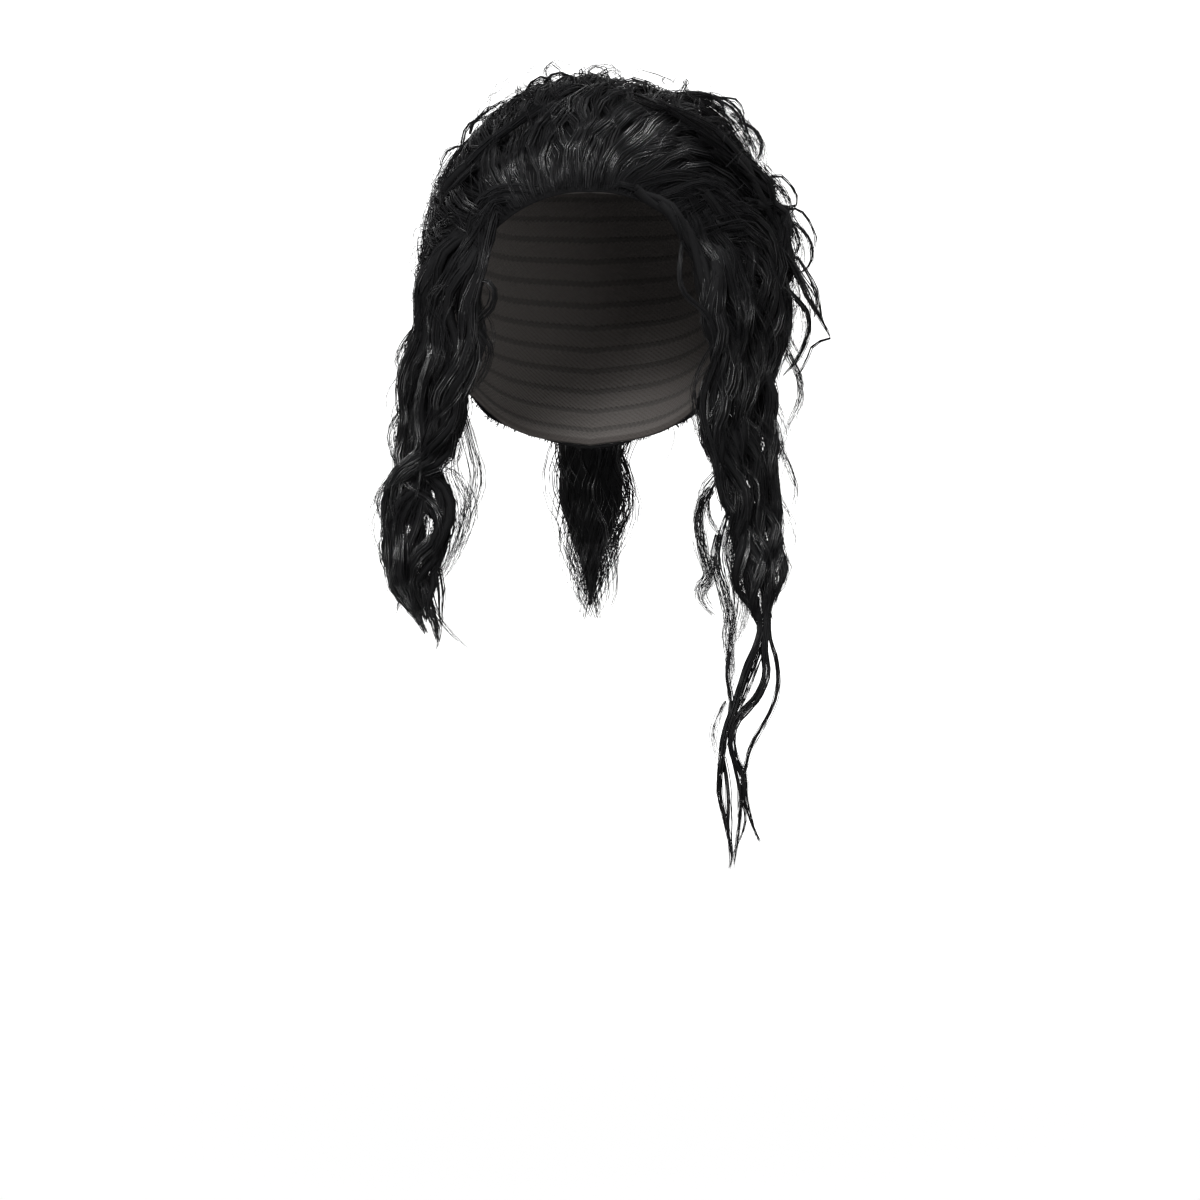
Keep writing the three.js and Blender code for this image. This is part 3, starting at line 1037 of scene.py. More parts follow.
@dataclass(frozen=True)
class HairFinish:
    """Near-black synthetic hair, glossy in patches, a little different from strand to strand."""

    dark: Colour = (0.0006, 0.0006, 0.0007, 1.0)
    light: Colour = (0.0030, 0.0030, 0.0032, 1.0)
    roughness: float = 0.5
    specular: float = 0.015
    coat_roughness: float = 0.25
    coat_index: float = 1.58
    patch: float = 14.0
    patch_detail: float = 1.0
    patch_shift: Place = (0.4, 0.0, 0.0)  # metres
    patch_edge: Span = (0.41, 0.6)
    patch_gloss: float = 1.0
    top: Span = (-95.0, -50.0)
    top_gloss: float = 0.22
    lustre: tuple[LustreRow, ...] = (
        LustreRow(-30, 46, 20, 13, 0.55), LustreRow(-8, 38, 24, 14, 0.5),
        LustreRow(27, 28, 31, 21, 0.9),
    )
    lustre_fore: Span = (20.0, 40.0)
    lustre_edge: Span = (0.25, 0.42)
    lustre_soft: float = 0.7
    tone_gloss: float = 0.75

    def spots(self, place: tuple[Val, Val, Val]) -> Val:
        """How much of the smooth patches is at a place.

        Args:
            place: the place's X, Y and Z.

        Returns:
            The share, from 0 to 1.
        """
        side, back, rise = place
        whole: Link = 0.0
        for row in self.lustre:
            across = (side - row.side * MM) / (row.half_width * MM)
            along = (rise + row.drop * MM) / (row.half_height * MM)
            inside = 1.0 - across**2.0 - along**2.0
            whole = (inside.step(0.0, self.lustre_soft) * row.gloss).greater(whole)
        return whole * (-1.0 * back).step(*(fore * MM for fore in self.lustre_fore))

    def material(self) -> Material:
        """Makes the material, which reads each strand's tone and its lock's gleam.

        Returns:
            The material.
        """
        material, graph = new_material("hair_strands")
        tone, gleam = (
            graph.value("ShaderNodeAttribute", None, "Fac", attribute_name=name)
            for name in ("tone", "gleam")
        )
        place = graph.node("ShaderNodeTexCoord").outputs["Object"]
        split = graph.node("ShaderNodeSeparateXYZ", {0: place})
        side, back, rise = (Val(graph, socket) for socket in split.outputs)
        sockets = {
            "Vector": graph.vector("ADD", place, self.patch_shift),
            "Scale": 1.0 / (self.patch * MM), "Detail": self.patch_detail,
        }
        noise = graph.value("ShaderNodeTexNoise", sockets)
        low = 1.0 - (1.0 - self.top_gloss) * rise.step(*(height * MM for height in self.top))
        patches = noise.step(*self.patch_edge) * self.patch_gloss * low
        spots = self.spots((side, back, rise)) * noise.step(*self.lustre_edge)
        gloss = gleam * patches.greater(spots)
        graph.surface({
            "Base Color": graph.mix(tone, self.dark, self.light), "Roughness": self.roughness,
            "Specular IOR Level": self.specular,
            "Coat Weight": gloss * (1.0 - self.tone_gloss * (1.0 - tone)),
            "Coat Roughness": self.coat_roughness, "Coat IOR": self.coat_index,
        })
        return material


@dataclass(frozen=True)
class MassFinish:
    """Dark depth of the hair between its strands."""

    colour: Colour = (0.0008, 0.0008, 0.0009, 1.0)
    roughness: float = 0.8
    specular: float = 0.03
    streak: float = 1.6
    streak_detail: float = 2.0
    streak_strength: float = 0.4
    streak_depth: float = 0.4

    def material(self) -> Material:
        """Makes the material, with a relief of fine streaks.

        Returns:
            The material.
        """
        material, graph = new_material("hair_mass")
        sockets = {
            "Vector": graph.node("ShaderNodeTexCoord").outputs["Object"],
            "Scale": 1.0 / (self.streak * MM), "Detail": self.streak_detail,
        }
        noise = graph.value("ShaderNodeTexNoise", sockets)
        graph.surface({
            "Base Color": self.colour, "Roughness": self.roughness,
            "Specular IOR Level": self.specular,
            "Normal": graph.bump(noise, self.streak_strength, self.streak_depth),
        })
        return material


@dataclass(frozen=True)
class CapFinish:
    """Charcoal stretch net with sewn rows of weft and a darker edging."""

    net: Colour = (0.023, 0.0205, 0.019, 1.0)
    weft: Colour = (0.0145, 0.013, 0.012, 1.0)
    edging: Colour = (0.012, 0.010, 0.009, 1.0)
    roughness: float = 0.85
    specular: float = 0.2
    rows: int = 19
    row_edge: Span = (0.5, 0.9)
    zigzag: float = 0.03
    meshes_round: int = 190
    meshes_down: int = 90
    edging_from: Span = (0.982, 0.99)
    row_height: float = 0.8
    mesh_height: float = 0.25
    relief: float = 0.7
    relief_depth: float = 0.8

    def material(self) -> Material:
        """Makes the material, which reads the cap's own shares round it and down it.

        Returns:
            The material.
        """
        material, graph = new_material("cap_net")
        shares = graph.node("ShaderNodeUVMap", uv_map=WALL_MAP).outputs[0]
        split = graph.node("ShaderNodeSeparateXYZ", {0: shares}).outputs
        around, inward = Val(graph, split["X"]), Val(graph, split["Y"])
        thread = (around * TAU * self.meshes_round).sin()
        row = ((inward * self.rows + thread * self.zigzag) * TAU).sin()
        weft = row.step(*self.row_edge)
        cells = thread * (inward * (TAU * self.meshes_down)).sin()
        cloth = graph.mix(weft, self.net, self.weft)
        height = weft * self.row_height + cells * self.mesh_height
        graph.surface({
            "Base Color": graph.mix(inward.step(*self.edging_from), cloth, self.edging),
            "Roughness": self.roughness, "Specular IOR Level": self.specular,
            "Normal": graph.bump(height, self.relief, self.relief_depth),
        })
        return material


@dataclass(frozen=True)
class TieFinish:
    """Plain black elastic cord."""

    colour: Colour = (0.006, 0.006, 0.007, 1.0)
    roughness: float = 0.8
    specular: float = 0.2

    def material(self) -> Material:
        """Makes the material.

        Returns:
            The material.
        """
        material, graph = new_material("tie_elastic")
        graph.surface({
            "Base Color": self.colour, "Roughness": self.roughness,
            "Specular IOR Level": self.specular,
        })
        return material


@dataclass(frozen=True)
class FloorFinish:
    """Pale paper that glows a little, so that it stays white under the lights."""

    colour: Colour = (0.25, 0.25, 0.25, 1.0)
    roughness: float = 0.9
    specular: float = 0.0
    glow: float = 1.0

    def material(self) -> Material:
        """Makes the material.

        Returns:
            The material.
        """
        material, graph = new_material("floor")
        graph.surface({
            "Base Color": self.colour, "Roughness": self.roughness,
            "Specular IOR Level": self.specular, "Emission Color": WHITE,
            "Emission Strength": self.glow,
        })
        material.cycles.emission_sampling = "NONE"
        return material


@dataclass
class Finishes:
    """The materials and the strand tree that the pieces share."""

    hair: Material = field(default_factory=HairFinish().material)
    mass: Material = field(default_factory=MassFinish().material)
    cap: Material = field(default_factory=CapFinish().material)
    tie: Material = field(default_factory=TieFinish().material)
    strands: StrandTree = field(default_factory=StrandTree)


@dataclass(kw_only=True)
class Part:
    """A sub-assembly: the CAD node that it stands for, and its finish's slot, which is not used."""

    node: str
    slot: Slot = Slot.HAIR

    def build(self, finishes: Finishes) -> list[Object]:
        """Builds the pieces with their materials."""
        raise NotImplementedError

    def dress(self, pieces: Sequence[Object]) -> None:
        """Hands the finished pieces to the frame and hides the CAD node that they stand for.

        Args:
            pieces: the objects, in their places.
        """
        for piece in pieces:
            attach(piece, "root")
            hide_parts(self.node)
            log.info("%s: %d faces", piece.name, len(piece.data.polygons))


@dataclass(kw_only=True)
class Cap(Part):
    """Thin stretch cap that the hair is sewn to, open at the face, ears and nape."""

    node: str = "wig_cap"
    slot: Slot = Slot.CAP
    grid: tuple[int, int] = (120, 32)

    def way(self, around: Array, inward: Array) -> Array:
        """Directions by the shares round the cap and down it."""
        round_ = full_turn(around)
        return HEAD.direction(round_, inward * HEAD.rim_down(round_))

    def build(self, finishes: Finishes) -> list[Object]:
        """Builds the cap."""
        return [wall("cap", self.grid, self.way, (HEAD.cap_wall, 0.0), finishes.cap)]


@dataclass(frozen=True)
class CrownZone:
    """A part of the swept-back hair, between two turns about the tie.

    Share is the part of the hair's depth that its locks lie at, from the lowest to the highest.
    """

    name: str
    first: float
    last: float
    locks: int
    strands: int
    share: Span

    def pitch(self) -> float:
        """Degrees from a lock to the next."""
        return (self.last - self.first) / self.locks

    def turns(self) -> list[float]:
        """Turns of the zone's locks, from -180 to 180."""
        places = self.first + (np.arange(self.locks) + 0.5) * self.pitch()
        return [float((place + 180.0) % 360.0 - 180.0) for place in places]


@dataclass(frozen=True)
class TopLocks:
    """Short wavy locks that lie on the crown behind the sleek hairline."""

    count: int = 86
    turn_reach: float = 85.0
    behind_edge: Span = (9.0, 52.0)
    length: Span = (50.0, 85.0)
    step: float = 3.8
    path_radius: float = 104.0
    least_away: float = 12.0
    least_round: float = 0.2
    wave: Span = (2.8, 5.6)
    wave_length: Span = (22.0, 36.0)
    wave_in: float = 0.25
    bob: float = 0.5
    lean_in: Span = (-0.4, 0.6)
    depth: float = 0.8
    sink: float = 5.6
    arch: float = 3.0
    arch_from: float = 0.08
    half: Span = (2.6, 4.6)
    tip_slim: float = 0.6
    flat: float = 0.6
    growth: Growth = Growth(13, thickness=0.24, frizz=1.8, trim=0.25, seed=SEED + 10)

    def guide(self, lean: Callable[[float], float], dice: Dice) -> Guide:
        """Guide of one lock.

        Args:
            lean: degrees that a lock leans, by its turn about the tie.
            dice: the random source.

        Returns:
            The guide.
        """
        turn = dice.uniform(-self.turn_reach, self.turn_reach)
        start = float(HEAD.edge_away(turn)) - dice.uniform(*self.behind_edge)
        run = np.arange(0.0, dice.uniform(*self.length), self.step)
        share = run / run[-1]
        away = np.maximum(start - np.degrees(run / self.path_radius), self.least_away)
        round_scale = np.maximum(np.sin(np.radians(away)), self.least_round) * self.path_radius
        angle = beat(run, self.wave_length, dice)
        size = dice.uniform(*self.wave) * ease(share, 0.0, self.wave_in)
        leaned = turn + lean(turn) * ease(share, *self.lean_in)
        way = HEAD.about_tie(leaned + np.degrees(size * np.sin(angle) / round_scale), away)
        arch = self.arch * np.sin(math.pi * np.clip(self.arch_from + share, 0.0, 1.0))
        height = HEAD.hair_base + self.depth * HEAD.depth(way) - self.sink
        points = HEAD.over(way, height + arch + self.bob * size * np.cos(angle))
        half = dice.uniform(*self.half) * (1.0 - self.tip_slim * share**2)
        return Guide(points, half, half * self.flat, HEAD.outward(points))


@dataclass(kw_only=True)
class CrownHair(Part):
    """Hair swept back from the hairline to the tie: a dark depth under wavy strands."""

    node: str = "crown_hair"
    zones: tuple[CrownZone, ...] = (
        CrownZone("front", -48.0, 48.0, 50, 17, (0.42, 0.74)),
        CrownZone("left", -104.0, -48.0, 24, 16, (0.88, 1.10)),
        CrownZone("right", 48.0, 104.0, 24, 16, (0.88, 1.10)),
        CrownZone("nape", 104.0, 256.0, 44, 12, (0.50, 0.90)),
    )
    leans: tuple[Row, ...] = (  # turned about the tie, and leant on the way back
        Row(-180, 0), Row(-110, 0), Row(-75, -12), Row(-45, 0), Row(-20, 10), Row(-5, 7), Row(0, 9),
        Row(6, 16), Row(15, 24), Row(40, 25), Row(75, 20), Row(110, 0), Row(180, 0),
    )
    lean_run: float = 55.0
    lean_away: float = 50.0
    step: float = 8.2
    crowding: float = 1.35
    wave: float = 3.4
    wave_uneven: Span = (0.6, 1.4)
    wave_length: Span = (28.0, 50.0)
    bob: float = 2.0
    sleek: Span = (4.0, 26.0)
    gathered: Span = (4.0, 40.0)
    least_round: float = 0.12
    root_over: float = 0.5
    root_lift: float = 2.6
    root_start: float = -2.0
    root_run: float = 7.0
    dull: Span = (2.0, 20.0)
    edge_over: float = 0.7
    edge_lift: Span = (2.1, 2.7)
    spread: Span = (0.9, 1.7)
    least_half: float = 1.1
    flat: float = 0.5
    deepest: float = 2.2
    tie_away: float = 7.0
    front_mass: float = 0.42
    side_mass: float = 0.78
    side_from: Span = (46.0, 60.0)
    mass_grid: tuple[int, int] = (110, 30)
    growth: Growth = Growth(thickness=0.25, frizz=1.8, frizz_length=30.0, trim=0.05)
    top: TopLocks = TopLocks()

    def lean(self, turn: float) -> float:
        """Degrees that a lock at a turn leans on its way back."""
        return float(read(self.leans, turn))

    def lift(self, way: Array, away: Array, share: Array) -> Array:
        """Height over the head in the hair, which is gathered at the tie.

        Args:
            way: unit directions from the head's centre.
            away: their degrees away from the tie.
            share: shares of the hair's depth.

        Returns:
            The heights.
        """
        gathered = 1.0 - ease(away, 0.0, HEAD.tie.gather)
        loose = HEAD.hair_base + share * HEAD.depth(way)
        return blend(loose, HEAD.tie.hair_lift * np.minimum(share, 1.0), gathered)

    def lock(self, turn: float, zone: CrownZone, dice: Dice) -> Guide:
        """Guide of one lock from the edge to the tie.

        Args:
            turn: degrees about the tie from straight up.
            zone: the zone that it is in.
            dice: the random source.

        Returns:
            The guide.
        """
        root = float(HEAD.edge_away(turn)) + self.root_over
        length = math.radians(root - self.tie_away) * HEAD.mean_radius
        share = np.linspace(0.0, 1.0, int(length / self.step)) ** self.crowding
        away = blend(root, self.tie_away, share)
        run = np.radians(root - away) * HEAD.mean_radius
        weight = ease(run, *self.sleek) * ease(away, *self.gathered)
        angle = beat(run, self.wave_length, dice)
        sway = weight * self.wave * np.sin(angle) * dice.uniform(*self.wave_uneven)
        round_scale = np.maximum(np.sin(np.radians(away)), self.least_round) * HEAD.mean_radius
        leaning = ease(run, 0.0, self.lean_run) * ease(away, 0.0, self.lean_away)
        leaned = turn + self.lean(turn) * leaning
        way = HEAD.about_tie(leaned + np.degrees(sway / round_scale), away)
        height = self.lift(way, away, dice.uniform(*zone.share)) + weight * self.bob * np.cos(angle)
        risen = ease(run, self.root_start, self.root_run)
        points = HEAD.over(way, blend(self.root_lift, height, risen))
        pitch = round_scale * math.radians(zone.pitch())
        half = np.maximum(pitch * dice.uniform(*self.spread), self.least_half)
        deep = np.minimum(half * self.flat, self.deepest)
        return Guide(points, half, deep, HEAD.outward(points), ease(run, *self.dull))

    def way(self, around: Array, inward: Array) -> Array:
        """Directions by the shares round the tie and out to the edge."""
        turn = full_turn(around)
        return HEAD.about_tie(turn, inward * (HEAD.edge_away(turn) + self.edge_over))

    def outer(self, around: Array, inward: Array) -> Array:
        """Heights of the depth's outer face over the head.

        Args:
            around: shares round the tie.
            inward: shares out to the edge.

        Returns:
            The heights.
        """
        turn = full_turn(around)
        edge = HEAD.edge_away(turn)
        run = (1.0 - inward) * np.radians(edge) * HEAD.mean_radius
        solid = blend(self.front_mass, self.side_mass, ease(np.abs(turn), *self.side_from))
        full = self.lift(self.way(around, inward), inward * edge, solid)
        return blend(self.edge_lift[1], full, ease(run, 0.0, self.root_run))

    def build(self, finishes: Finishes) -> list[Object]:
        """Builds the depth, the strands of each zone and the top locks.

        Args:
            finishes: the shared materials and the strand tree.

        Returns:
            The pieces.
        """
        lifts = (self.outer, self.edge_lift[0])
        pieces = [wall("crown_depth", self.mass_grid, self.way, lifts, finishes.mass)]
        grow = finishes.strands.grow
        dice = np.random.default_rng(SEED)
        for number, zone in enumerate(self.zones):
            guides = [self.lock(turn, zone, dice) for turn in zone.turns()]
            growth = replace(self.growth, strands=zone.strands, seed=SEED + number)
            pieces.append(grow(f"crown_{zone.name}", guides, growth, finishes.hair))
        guides = [self.top.guide(self.lean, dice) for _ in range(self.top.count)]
        pieces.append(grow("crown_top_locks", guides, self.top.growth, finishes.hair))
        return pieces


@dataclass(frozen=True)
class Curl:
    """A loose curl: its half size, its strands and the line that they follow."""

    half: float
    strands: int
    line: tuple[Knot, ...]
    step: float = 4.0
    end_size: float = 0.6
    tip_slim: float = 0.6

    @classmethod
    def of(cls, half: float, strands: int, *rows: Place) -> "Curl":
        """Makes a curl through rows of drop, side and fore."""
        return cls(half, strands, path(*rows))

    def guide(self, side: Side) -> Guide:
        """Guide of the curl.

        Args:
            side: the side of the face that it hangs on.

        Returns:
            The guide.
        """
        points = spline(hang(self.line, side), self.step)
        along = np.linspace(0, 1, len(points))
        swell = blend(self.end_size, 1.0, np.sin(math.pi * along))
        half = self.half * swell * (1.0 - self.tip_slim * along**3)
        return Guide(points, half, half, np.tile(FORWARD, (len(points), 1)))


def grow_curls(name: str, curls: Sequence[Curl], side: Side, growth: Growth,
               finishes: Finishes) -> list[Object]:
    """Grows numbered loose curls, each from a seed of its own.

    Args:
        name: what their names start with.
        curls: the curls.
        side: the side of the face that they hang on.
        growth: how strands fill them, with the first curl's seed.
        finishes: the shared materials and the strand tree.

    Returns:
        The pieces.
    """
    pieces = []
    for number, curl in enumerate(curls):
        own = replace(growth, strands=curl.strands, seed=growth.seed + number)
        guides = [curl.guide(side)]
        piece = finishes.strands.grow(f"{name}_{number + 1}", guides, own, finishes.hair)
        pieces.append(piece)
    return pieces


@dataclass(frozen=True)
class Fall:
    """How the locks of every bundle leave their roots, spread, wave and end.

    Spans are shares of a lock's length, apart from the inset's degrees and the crown's heights.
    """

    root_stray: float = 4.0
    root_lift: float = 2.4
    deep_inset: Span = (2.0, 20.0)
    rise_share: float = 0.4
    crest_share: float = 0.75
    crest_rise: float = 0.6
    crown_depth: float = 0.85
    crown_uneven: Span = (-2.5, 1.5)
    cut: Span = (0.96, 1.0)
    loose: Span = (0.12, 0.4)
    reach: float = 0.72
    flat: float = 0.8
    tip: Span = (0.9, 1.0)
    tip_slim: float = 0.7
    tip_wave: float = 0.5
    slow_length: float = 110.0
    slow_size: float = 0.35
    deep_wave: float = 0.7
    half: float = 0.5
    root_half: float = 0.7
    least_half: float = 0.5
    root_gleam: float = 0.12


@dataclass(frozen=True)
class Stray:
    """How a few loose strands leave a bundle and curl beside it.

    Start, length and arch are shares of the bundle's length, and away is in its half sizes.
    """

    step: float = 0.7
    start: Span = (0.0, 0.55)
    length: Span = (0.25, 0.5)
    arch: Span = (0.15, 0.9)
    away: Span = (0.9, 1.5)
    wave: Span = (1.5, 4.0)
    half: float = 1.2


FALL = Fall()
STRAY = Stray()


@dataclass(frozen=True)
class Bundle:
    """Several locks that fall together along one line, from roots spread on the head.

    Roots are the degrees round from the forehead that the locks start between, and inset is how
    many degrees inside the hairline they start. Rise is how far they lift over the crown first,
    and stagger is the share of the line by which the last lock joins it later than the first.
    """

    name: str
    half: float
    roots: Span
    line: tuple[Knot, ...]
    locks: int = 6
    strands: int = 27
    inset: float = 1.0
    rise: float = 0.13
    stagger: float = 0.0
    wave: float = 2.6
    wave_length: Span = (34.0, 52.0)
    swirl: float = 1.5
    step: float = 6.4
    strays: int = 16
    dull: Span = (0.06, 0.34)

    def swoop(self, share: float, first: Array, side: Side, dice: Dice) -> Array:
        """Start of one lock, from its root over the crown.

        Args:
            share: the lock's place between the first root and the last.
            first: the point where the hanging line starts.
            side: the side that it hangs on.
            dice: the random source.

        Returns:
            Points over the head.
        """
        stray = dice.uniform(-FALL.root_stray, FALL.root_stray)
        round_ = np.array(side.value * (blend(*self.roots, share) + stray))
        root = HEAD.direction(round_, HEAD.rim_down(round_) - self.inset)
        target = HEAD.outward(first)
        lift = self.rise * np.array(UP)
        rise = unit(blend(root, target, FALL.rise_share) + lift)
        crest = unit(blend(root, target, FALL.crest_share) + FALL.crest_rise * lift)
        deep = float(HEAD.depth(root)) * float(ease(self.inset, *FALL.deep_inset))
        points = [HEAD.over(root, FALL.root_lift + deep)]
        for way in (rise, crest):
            height = HEAD.hair_base + FALL.crown_depth * float(HEAD.depth(way))
            points.append(HEAD.over(way, height + dice.uniform(*FALL.crown_uneven)))
        return np.array(points)

    def sway(self, run: Array, size: Array, directions: tuple[Array, Array], dice: Dice) -> Array:
        """A lock's own wave about its line.

        Args:
            run: distances along the line.
            size: the wave's size at each point.
            directions: unit vectors across the line and out of it.
            dice: the random source.

        Returns:
            Offsets from the line.
        """
        angle = beat(run, self.wave_length, dice)
        slow = TAU * run / FALL.slow_length + dice.uniform(0, TAU)
        size = size * (1.0 + FALL.slow_size * np.sin(slow))
        return offset(directions, size * np.sin(angle), FALL.deep_wave * size * np.cos(angle))

    def lock(self, number: int, side: Side, dice: Dice) -> Guide:
        """Guide of one lock, from its root to its tip.

        Args:
            number: its number in the bundle.
            side: the side that it hangs on.
            dice: the random source.

        Returns:
            The guide.
        """
        share = (number + 0.5) / self.locks
        hung = hang(self.line, side)
        hung = hung[int(self.stagger * len(hung) * share):]
        start = self.swoop(share, hung[0], side, dice)
        points = spline(np.concatenate([start, hung]), self.step)
        points = points[: int(len(points) * dice.uniform(*FALL.cut))]
        run = np.arange(len(points)) * self.step
        along = run / run[-1]
        loose = ease(along, *FALL.loose)
        narrow = 1.0 - FALL.tip_slim * ease(along, *FALL.tip)
        reach = FALL.reach * self.half * math.sqrt(share) * loose * narrow
        angle = number * GOLDEN_TURN + self.swirl * along
        directions = line_frame(points, FORWARD)
        spread = offset(directions, reach * np.cos(angle), FALL.flat * reach * np.sin(angle))
        size = self.wave * loose * blend(FALL.tip_wave, 1.0, narrow)
        points = points + spread + self.sway(run, size, directions, dice)
        half = FALL.half * self.half * narrow * blend(FALL.root_half, 1.0, loose)
        half = np.maximum(half, FALL.least_half)
        gleam = blend(FALL.root_gleam, 1.0, ease(along, *self.dull))
        return Guide(points, half, half * FALL.flat, HEAD.outward(points), gleam)

    def stray(self, side: Side, dice: Dice) -> Guide:
        """Guide of a few loose strands that leave the bundle and curl beside it.

        Args:
            side: the side that they hang on.
            dice: the random source.

        Returns:
            The guide.
        """
        step = self.step * STRAY.step
        points = spline(hang(self.line, side), step)
        first = int(len(points) * dice.uniform(*STRAY.start))
        points = points[first: first + int(len(points) * dice.uniform(*STRAY.length))]
        run = np.arange(len(points)) * step
        directions = line_frame(points, FORWARD)
        angle = dice.uniform(0, TAU)
        arch = np.sin(math.pi * blend(*STRAY.arch, run / run[-1]))
        away = self.half * dice.uniform(*STRAY.away) * arch
        apart = offset(directions, away * math.cos(angle), away * math.sin(angle))
        size = np.full(len(run), dice.uniform(*STRAY.wave))
        points = points + apart + self.sway(run, size, directions, dice)
        half = np.full(len(run), STRAY.half)
        return Guide(points, half, half, HEAD.outward(points))


@dataclass(kw_only=True)
class Sidelock(Part):
    """Wavy lock that sweeps over a temple and hangs beside the face."""

    side: Side
    bundles: tuple[Bundle, ...]
    curls: tuple[Curl, ...]
    wisps: tuple[Curl, ...]
    core_from: float = 0.18
    growth: Growth = Growth(thickness=0.25, frizz=1.5, trim=0.08, seed=SEED + 20)
    core_growth: Growth = Growth(
        1, thickness=2.3, frizz=0.0, trim=0.0, tip=0.98, taper=9.0, sides=6, seed=SEED + 29
    )
    stray_growth: Growth = Growth(4, thickness=0.11, frizz=2.4, trim=0.3, seed=SEED + 30)
    curl_growth: Growth = Growth(thickness=0.24, frizz=1.0, trim=0.1, seed=SEED + 40)
    wisp_growth: Growth = Growth(thickness=0.11, frizz=2.2, trim=0.3, seed=SEED + 100)

    def build(self, finishes: Finishes) -> list[Object]:
        """Builds the bundles, their dark cores, the stray strands and the loose curls.

        Args:
            finishes: the shared materials and the strand tree.

        Returns:
            The pieces.
        """
        pieces: list[Object] = []
        strays: list[Guide] = []
        cores: list[Guide] = []
        grow = finishes.strands.grow
        dice = np.random.default_rng(SEED + len(self.node))
        for number, bundle in enumerate(self.bundles):
            guides = [bundle.lock(lock, self.side, dice) for lock in range(bundle.locks)]
            growth = replace(self.growth, strands=bundle.strands, seed=self.growth.seed + number)
            pieces.append(grow(f"{self.node}_{bundle.name}", guides, growth, finishes.hair))
            strays += [bundle.stray(self.side, dice) for _ in range(bundle.strays)]
            cores += [guide.core(self.core_from) for guide in guides]
        pieces.append(grow(f"{self.node}_depth", cores, self.core_growth, finishes.mass))
        pieces.append(grow(f"{self.node}_strays", strays, self.stray_growth, finishes.hair))
        for kind, curls, growth in (
            ("curl", self.curls, self.curl_growth), ("wisp", self.wisps, self.wisp_growth),
        ):
            pieces += grow_curls(f"{self.node}_{kind}", curls, self.side, growth, finishes)
        return pieces


SHORT_SIDELOCK = Sidelock(
    node="short_sidelock",
    side=Side.LEFT,
    bundles=(
        Bundle("outer", 9.0, (9, 29), path(
            (83, 73, 63), (100, 77, 55), (119, 80, 49), (140, 83, 43), (157, 85, 41), (171, 88, 39),
            (182, 85, 43), (191, 74, 50), (204, 70, 53), (217, 73, 52), (229, 79, 50),
            (241, 82, 49), (252, 80, 49), (262, 76, 50))),
        Bundle("middle", 10.0, (17, 37), path(
            (84, 63, 75), (106, 71, 66), (132, 68, 67), (156, 74, 57), (175, 77, 53), (191, 85, 47),
            (211, 88, 46), (230, 87, 47), (246, 83, 49), (263, 76, 50))),
        Bundle("inner", 7.5, (25, 46), path(
            (83, 50, 83), (105, 56, 81), (126, 57, 77), (144, 62, 72), (161, 68, 65), (174, 75, 59),
            (184, 84, 51), (193, 92, 45), (205, 96, 42), (220, 95, 42), (236, 90, 44),
            (250, 86, 46), (259, 81, 48), (267, 76, 49))),
        Bundle("drape", 6.0, (14, 54), path(
            (62, 71, 38), (84, 75, 34), (110, 78, 36), (136, 81, 40), (160, 84, 41)),
            locks=8, strands=18, inset=24.0, rise=0.03),
        Bundle("rear_fill", 8.0, (13, 33), path(
            (84, 68, 69), (104, 74, 60), (126, 74, 58), (148, 79, 50), (164, 81, 47),
            (178, 82, 46)), locks=3, strands=13, strays=0, dull=(0.3, 0.8)),
        Bundle("front_fill", 8.0, (21, 41), path(
            (84, 57, 79), (106, 64, 73), (129, 63, 72), (150, 68, 65), (167, 72, 59),
            (180, 79, 52)), locks=3, strands=13, strays=0, dull=(0.3, 0.8)),
    ),
    curls=(
        Curl.of(3.0, 12, (93, 52, 82), (96, 46, 83), (105, 46, 82), (114, 53, 80), (126, 47, 78),
                (135, 49, 76), (147, 57, 71)),
        Curl.of(2.2, 14, (232, 80, 49), (250, 76, 50), (261, 73, 50), (269, 74, 49)),
        Curl.of(2.4, 18, (226, 74, 52), (240, 72, 52), (250, 72, 51), (258, 72, 50)),
        Curl.of(2.6, 18, (230, 81, 50), (243, 79, 50), (254, 76, 50), (265, 74, 50)),
    ),
    wisps=(
        Curl.of(5.0, 40, (156, 61, 66), (171, 57, 66), (185, 54, 63), (204, 58, 61), (226, 66, 56),
                (240, 74, 52)),
        Curl.of(4.5, 30, (168, 63, 62), (182, 66, 59), (199, 60, 61), (216, 63, 58), (233, 72, 53)),
        Curl.of(2.2, 24, (114, 86, 45), (122, 92, 39), (129, 94, 37), (136, 91, 40), (144, 88, 42)),
        Curl.of(2.2, 24, (153, 92, 39), (162, 97, 36), (170, 97, 37), (180, 92, 41), (186, 86, 46)),
        Curl.of(2.4, 26, (179, 90, 43), (186, 98, 38), (196, 104, 36), (206, 102, 38)),
        Curl.of(1.8, 16, (240, 80, 50), (256, 72, 52), (264, 65, 54), (269, 57, 57)),
        Curl.of(1.8, 16, (240, 90, 45), (248, 93, 44), (253, 94, 43)),
        Curl.of(3.2, 44, (186, 77, 50), (200, 79, 49), (212, 80, 49), (226, 79, 50), (240, 77, 50)),
    ),
)
